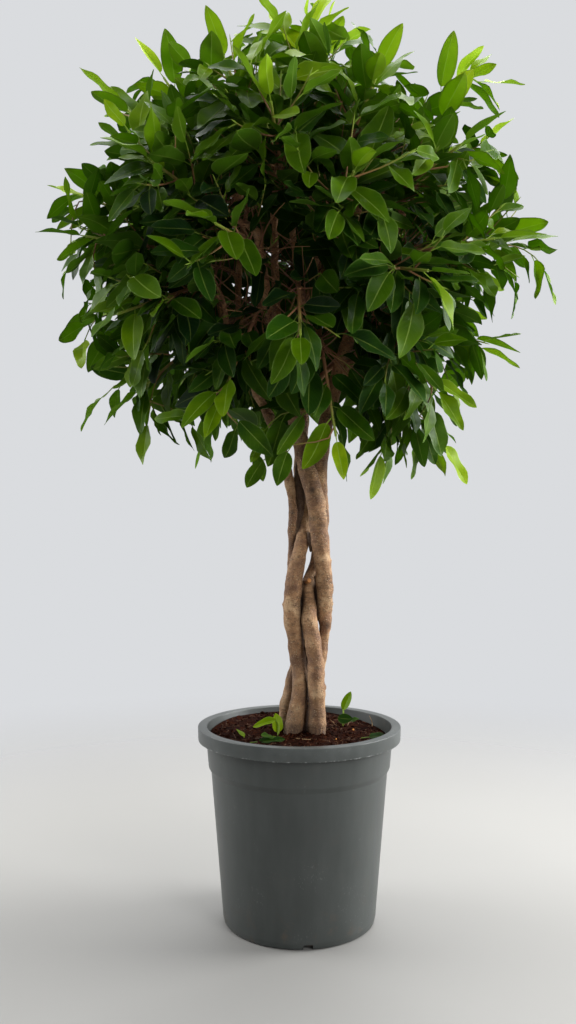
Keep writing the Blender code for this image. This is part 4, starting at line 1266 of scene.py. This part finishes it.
def makePot():
    height, wall, edge = pot["height"], pot["wall"], pot["edge"]
    outside = [(pot["neckRadius"], height - 2 * wall), pot["stepTop"], pot["stepFoot"],
               (pot["footRadius"], pot["footHeight"])]
    inside = [(radius - wall, level) for radius, level in reversed(outside)]
    foot = pot["footRadius"] - pot["footTurn"]
    turnIn = pot["footTurn"] * 0.3
    recess, deep = pot["recess"]
    gate, gateDeep = pot["gate"]
    outline = [(0, pot["floor"]), (foot, pot["floor"]), *inside[:-1],
               (pot["lipRadius"], height), (pot["rimRadius"], height),
               (pot["rimRadius"] - edge / 2, height - pot["rimDrop"]),
               (pot["rimRadius"] - edge / 2 - wall, height - pot["rimDrop"]),
               (pot["rimRadius"] - wall, height - 2 * wall),
               *outside, (pot["footRadius"] - turnIn, turnIn), (foot, 0),
               (recess, 0), (recess - deep, deep),
               (gate + gateDeep, deep), (gate, deep + gateDeep), (0, deep + gateDeep)]
    bm = spun(roundCorners(outline, edge), pot["steps"])
    for v in bm.verts:
        if v.co.to_2d().length > pot["rimRadius"] - 2 * wall and v.co.z < height - pot["rimDrop"] + edge:
            v.co.z += pot["burr"] * (noise.noise(v.co * 120) + noise.noise(v.co * 420))
    cutters = []
    for i in range(pot["notches"]):
        turn = math.radians(pot["notchTurn"]) + i * math.tau / pot["notches"]
        notch = bmesh.new()
        bmesh.ops.create_cube(notch, size=1)
        bmesh.ops.scale(notch, vec=pot["notchSize"], verts=notch.verts)
        bmesh.ops.bevel(notch, geom=notch.edges[:], offset=pot["notchEdge"], affect="EDGES", segments=3,
                        profile=0.5, material=-1)
        bmesh.ops.rotate(notch, matrix=Matrix.Rotation(turn, 3, "Z"), verts=notch.verts)
        bmesh.ops.translate(notch, verts=notch.verts,
                            vec=(math.cos(turn) * pot["footRadius"], math.sin(turn) * pot["footRadius"], 0))
        cutters.append(toMesh(notch))
    bm = combined(toMesh(bm), cutters, "DIFFERENCE")
    addPiece("pot", bm, [plasticMaterial], ["pot"], 34)
    print("pot done")


def makePlug(feet):
    # The plug of peat with its rough top and its holes for the stems, and the radius of its top
    (topStep, topHeight), (footStep, footHeight) = pot["stepTop"], pot["stepFoot"]
    wall, level = pot["wall"], soil["level"]
    loose = 2 * clearance * (1 + (topStep - footStep) / (topHeight - footHeight))
    rise = (level - topHeight) / (pot["height"] - 2 * wall - topHeight)
    top = topStep - wall + rise * (pot["neckRadius"] - topStep) - loose
    foot = pot["floor"] + clearance
    outline = []
    for i in range(soil["rings"]):
        radius = top * (i / soil["rings"]) ** 0.9
        outline.append((radius, level + soil["mound"] * math.cos(radius / top * math.pi / 2) ** 2))
    outline += [(top, level), (topStep - wall - loose, topHeight), (footStep - wall - loose, footHeight),
                (pot["footRadius"] - wall - loose, pot["footHeight"]),
                (pot["footRadius"] - pot["footTurn"] - loose, foot), (0, foot)]
    bm = spun(outline, soil["steps"])
    (heap, heapReach), (least, calmReach) = soil["heap"], soil["calmFoot"]
    for v in bm.verts:
        if v.co.z > level - clearance:
            rim = min(1.0, (top - v.co.to_2d().length) / soil["calmEdge"])
            place = v.co.copy()
            near = min(max(0.0, (place - foot).to_2d().length - thick) for foot, thick in feet)
            rough = rim * min(1.0, least + near / calmReach)
            v.co.z += rough * sum(size * noise.noise(place * count) for size, count in soil["lumps"])
            v.co.z += heap * math.exp(-(near / heapReach) ** 2) * (0.8 + 0.5 * noise.noise(place * 40))
            v.co.z += soil["bank"] * min(1.0, max(0.0, (place.y + 0.02 - 0.3 * place.x) / top)) ** 1.3
    holes = []
    for name, (route, forks) in stems.items():
        line = [(place, radius + clearance) for place, radius in smoothLine(route, bark["ring"])
                if place.z < level + 0.03]
        holes.append(toMesh(sweep(line, bark["sides"], shape=barkShape(name))))
    for foot, height, leaves in youngShoots.values():
        line = [(place, radius + clearance) for place, radius in youngShootLine(foot, height)]
        holes.append(toMesh(sweep(line, 8)))
    return combined(toMesh(bm), holes, "DIFFERENCE"), top


def makeSoil():
    # The plug of peat, then crumbs, fibres, grains and straw on its top
    level = soil["level"]
    feet = [min(smoothLine(route, bark["ring"]), key=lambda item: abs(item[0].z - level))
            for route, forks in stems.values()]
    bm, top = makePlug(feet)
    ground = BVHTree.FromBMesh(bm)
    draw = random.Random(soil["seed"])

    def groundAt(x, y, lowest=0.0):
        hit = ground.ray_cast(Vector((x, y, 0.4)), -up)[0]
        return hit if hit and hit.z > lowest else None

    def spotOnTop():
        radius = (top - 0.004) * math.sqrt(draw.random())
        turn = draw.uniform(0, math.tau)
        return groundAt(radius * math.cos(turn), radius * math.sin(turn), level - 0.006)

    def spotByStem(foot, thick):
        turn = draw.uniform(0, math.tau)
        radius = thick + 0.0015 + 0.007 * draw.random() ** 2
        return groundAt(foot.x + radius * math.cos(turn), foot.y + radius * math.sin(turn), level - 0.004)

    spots = [spotOnTop() for i in range(soil["crumbs"])]
    spots += [spotByStem(foot, thick) for foot, thick in feet for i in range(soil["footCrumbs"])]
    for spot in spots:
        size = between(soil["crumbSize"], draw.random() ** 3)
        turn = draw.uniform(0, math.tau)
        shape = Vector([draw.uniform(*span) for span in soil["crumbShape"]]) * size
        if spot:
            crumb = bmesh.new()
            bmesh.ops.create_icosphere(crumb, subdivisions=1, radius=1)
            for v in crumb.verts:
                v.co *= draw.uniform(*soil["crumbRough"])
            crumb.transform(Matrix.LocRotScale(spot + up * size * 0.3, Quaternion(up, turn), shape))
            absorb(bm, crumb)
    for i in range(soil["fibres"]):
        spot = spotOnTop()
        length = draw.uniform(*soil["fibreLength"])
        turn = draw.uniform(0, math.tau)
        curl, lift = draw.uniform(*soil["fibreCurl"]), draw.uniform(*soil["fibreLift"])
        line = []
        for k in range(5 if spot else 0):
            heading = turn + curl * k
            spot = spot + Vector((math.cos(heading), math.sin(heading), 0)) * length / 4
            hit = groundAt(spot.x, spot.y)
            if hit and spot.to_2d().length < top - 0.003:
                height = hit.z + soil["fibreRadius"] * 0.6 + lift * length * math.sin(k / 4 * math.pi) * 0.4
                line.append((Vector((spot.x, spot.y, height)), soil["fibreRadius"] * draw.uniform(0.7, 1.3)))
        if len(line) > 2:
            absorb(bm, sweep(line, 3, 1))
    for x, y in soil["grains"]:
        radius = draw.uniform(*soil["grainRadius"])
        grain = bmesh.new()
        bmesh.ops.create_uvsphere(grain, u_segments=10, v_segments=7, radius=radius)
        grain.transform(Matrix.Translation(groundAt(x, y) + up * radius * 0.5))
        for face in grain.faces:
            face.material_index = 2
        absorb(bm, grain)
    thick = soil["stickRadius"]
    absorb(bm, sweep([(groundAt(x, y) + up * 2 * thick, thick) for x, y in soil["straw"]], 5, 3))
    for foot, tip, tall in soil["sticks"]:
        foot, tip = groundAt(*foot), groundAt(*tip)
        middle = foot.lerp(tip, 0.25) + up * tall * 0.5
        stick = [(foot - up * 2 * mm, thick), (middle, thick), (tip + up * tall, thick * 0.5)]
        absorb(bm, sweep(stick, 5, 3))
    addPiece("soil", bm, soilFinish, ["soil"], 50)
    print("soil done")
    return ground


# Young shoots in the soil: foot and height, then for each leaf its share of the stem, the blade's compass
# turn, rise and roll in degrees, its length, width and tone, and its stalk's turn and rise
young = {"depth": 0.012, "tilt": 0.002, "radius": 0.0018}
youngShoots = {
    "young_shoot_left": ((-0.033, -0.022), 0.022, [
        (0.34, 104, 78, 0, 0.030, 0.018, 0.80, 100, 74), (0.93, 184, -8, -38, 0.038, 0.013, 0.70, 128, 56),
        (0.53, 232, 14, -20, 0.028, 0.015, 0.30, 232, 14)]),
    "young_shoot_right": ((0.070, 0.058), 0.023, [
        (0.84, 12, 62, 40, 0.032, 0.016, 0.66, 100, 70), (0.72, 340, -8, 58, 0.024, 0.017, 0.16, 215, 30),
        (0.60, 330, 24, 30, 0.018, 0.011, 0.22, 330, 24)]),
}
# Dropped leaves: where the stalk ends, compass turn, blade length and width, and roll towards the front
fallenLeaves = {
    "fallen_leaf_right": ((0.094, -0.014), 12, 0.030, 0.014, 34),
    "fallen_leaf_front": ((-0.074, -0.046), 2, 0.040, 0.017, 12),
}
smallLeaf = ((-0.084, -0.016), 136, 36, 0.018, 0.010)      # place, turn, rise, length and width


def youngShootLine(foot, height):
    x, y = foot
    low = Vector((x, y, soil["level"] - young["depth"]))
    top = Vector((x + young["tilt"], y, soil["level"] + height))
    return [(low, young["radius"]), ((low + top) / 2, young["radius"]), (top, young["radius"] * 0.85)]


def wayTo(turn, rise):
    # The direction of a compass turn that rises at an angle, both in degrees
    turn, rise = math.radians(turn), math.radians(rise)
    return Vector((math.cos(turn) * math.cos(rise), math.sin(turn) * math.cos(rise), math.sin(rise)))


def youngLeaf(spot, turn, rise, length, width, roll=0.0, stalk=None):
    axis = wayTo(turn, rise)
    face = Quaternion(axis, math.radians(roll)) @ wayTo(turn, rise + 90)
    return spot, stalk or axis, axis, face, length, width


def makeYoungShoots():
    for number, (node, (foot, height, leaves)) in enumerate(youngShoots.items()):
        bm = newPart()
        line = youngShootLine(foot, height)
        for k, (share, turn, rise, roll, length, width, tone, stalkTurn, stalkRise) in enumerate(leaves):
            stalk = wayTo(stalkTurn, stalkRise)
            grown = youngLeaf(pointAt(line, share)[0], turn, rise, length, width, roll, stalk)
            addLeaf(bm, grown, 3 * number + k, tone)
        absorb(bm, sweep(line, 8, 1, (0.5, 0.0)))
        addBud(bm, line[-1][0], up)
        addPiece("youngShoot" + ("Left", "Right")[number], bm, plantFinish, [node], leaf["sharp"])


def makeFallenLeaves(ground):
    # Each dropped leaf is lowered until its nearest point is a hair above the peat
    for number, (node, (spot, turn, length, width, roll)) in enumerate(fallenLeaves.items()):
        bm = newPart()
        lying = youngLeaf(Vector((*spot, soil["level"] + 0.03)), turn, 4, length, width, roll)
        addLeaf(bm, lying, 7 + number, 0.12)
        drop = min(v.co.z - ground.ray_cast(v.co, -up)[0].z for v in bm.verts) - clearance
        bmesh.ops.translate(bm, vec=-up * drop, verts=bm.verts)
        addPiece("fallenLeaf" + ("Right", "Front")[number], bm, plantFinish, [node], leaf["sharp"])


def makeSmallLeaf(ground):
    # A seedling's leaf, with its stalk in the peat
    (x, y), turn, rise, length, width = smallLeaf
    level = ground.ray_cast(Vector((x, y, 0.4)), -up)[0].z
    bm = newPart()
    addLeaf(bm, youngLeaf(Vector((x, y, level - 11 * mm)), turn, rise, length, width, 0, up), 4, 0.66)
    addPiece("smallLeaf", bm, plantFinish)


def darkenBark(bm, name, trunk):
    # Marks what the bark's material darkens: painted shade on the pressed wood and in the clefts, which hold
    # some dirt too, and the knots; and the stub's sawn end
    scarAndShade = bm.verts.layers.float.new("scarAndShade")
    sawn = bm.verts.layers.float.new("sawn")
    # painted shade on the pressed wood deep between the stems
    for stem, points in bark["pressed"]:
        for spot, radius in smoothLine(points, bark["ring"]) if stem == name else ():
            for v in bm.verts:
                if (v.co - spot).length < radius * bark["pressedReach"]:
                    v[scarAndShade] = bark["pressedShade"]
    # painted shade, with some dirt, where a stem lies close to another
    deep, reach = bark["cleftDirtAndShade"]
    others = [tree for other, tree in zip(stems, woodTrees) if other != name]
    for v in bm.verts:
        for tree in others:
            near = tree.find_nearest(v.co, 3 * reach)[3]
            if near is not None:
                v[scarAndShade] = max(v[scarAndShade], deep * math.exp(-(near / reach) ** 2))
    stub, stubLine = bark["stub"]
    if stub == name:
        middle, radius = smoothLine(stubLine, bark["ring"])[-1]
        for v in bm.verts:
            v[sawn] = max(0.0, 1 - (v.co - middle).length / bark["sawnReach"]) ** 0.5
    for stem, height, turn, radius, rise, dark in bark["knots"]:
        if stem == name:
            middle, thick = min(trunk, key=lambda item: abs(item[0].z - height))
            spot = middle + wayTo(turn, 0) * thick
            for v in bm.verts:
                away = (v.co - spot).length
                if away < 2 * radius:
                    v[scarAndShade] = max(v[scarAndShade], dark * math.exp(-(away / radius) ** 4))


def makeStems(plans):
    for name, (route, forks) in stems.items():
        shape = barkShape(name)
        lines = [smoothLine(route, bark["ring"])] + [smoothLine(fork, bark["forkRing"]) for fork in forks]
        rods = []
        more, reach = bark["collar"]
        for plan in plans:
            stem, number, k = plan["limb"]
            if stem == name and plan["atEnd"]:
                lines[number] = lines[number] + plan["rod"][1:]
            elif stem == name:
                place, thick = plan["rod"][0]
                collar = [(point, radius * (1 + more * math.exp(-(point - place).length / reach)))
                          for point, radius in plan["rod"]]
                rods.append(toMesh(sweep(collar, bark["rodSides"])))
        limbs = [toMesh(sweep(line, bark["forkSides"], shape=shape)) for line in lines[1:]]
        limbs += [toMesh(sweep(smoothLine(points, bark["ring"]), bark["pressedSides"], shape=shape))
                  for stem, points in bark["pressed"] + [bark["stub"]] if stem == name]
        body = toMesh(sweep(lines[0], bark["sides"], shape=shape))
        bm = combined(body, limbs + rods, "UNION")
        darkenBark(bm, name, lines[0])
        openEdges = [edge for edge in bm.edges if not edge.is_manifold]
        print(name, "faces", len(bm.faces), "open edges", len(openEdges))
        addPiece("stem" + name[5:].capitalize(), bm, [barkMaterial], [name])


plans = shootPlans()
chooseLimbs(plans)
for nodeName in stems:
    solid = bmesh.new()
    solid.from_mesh(frame["nodes"][nodeName].data)
    woodTrees.append(BVHTree.FromBMesh(solid))
    solid.free()
makeShoots(plans)
makeBareTwigs(plans)
makeStems(plans)
makePot()
ground = makeSoil()
makeYoungShoots()
makeFallenLeaves(ground)
makeSmallLeaf(ground)
print("young shoots and dropped leaves done")
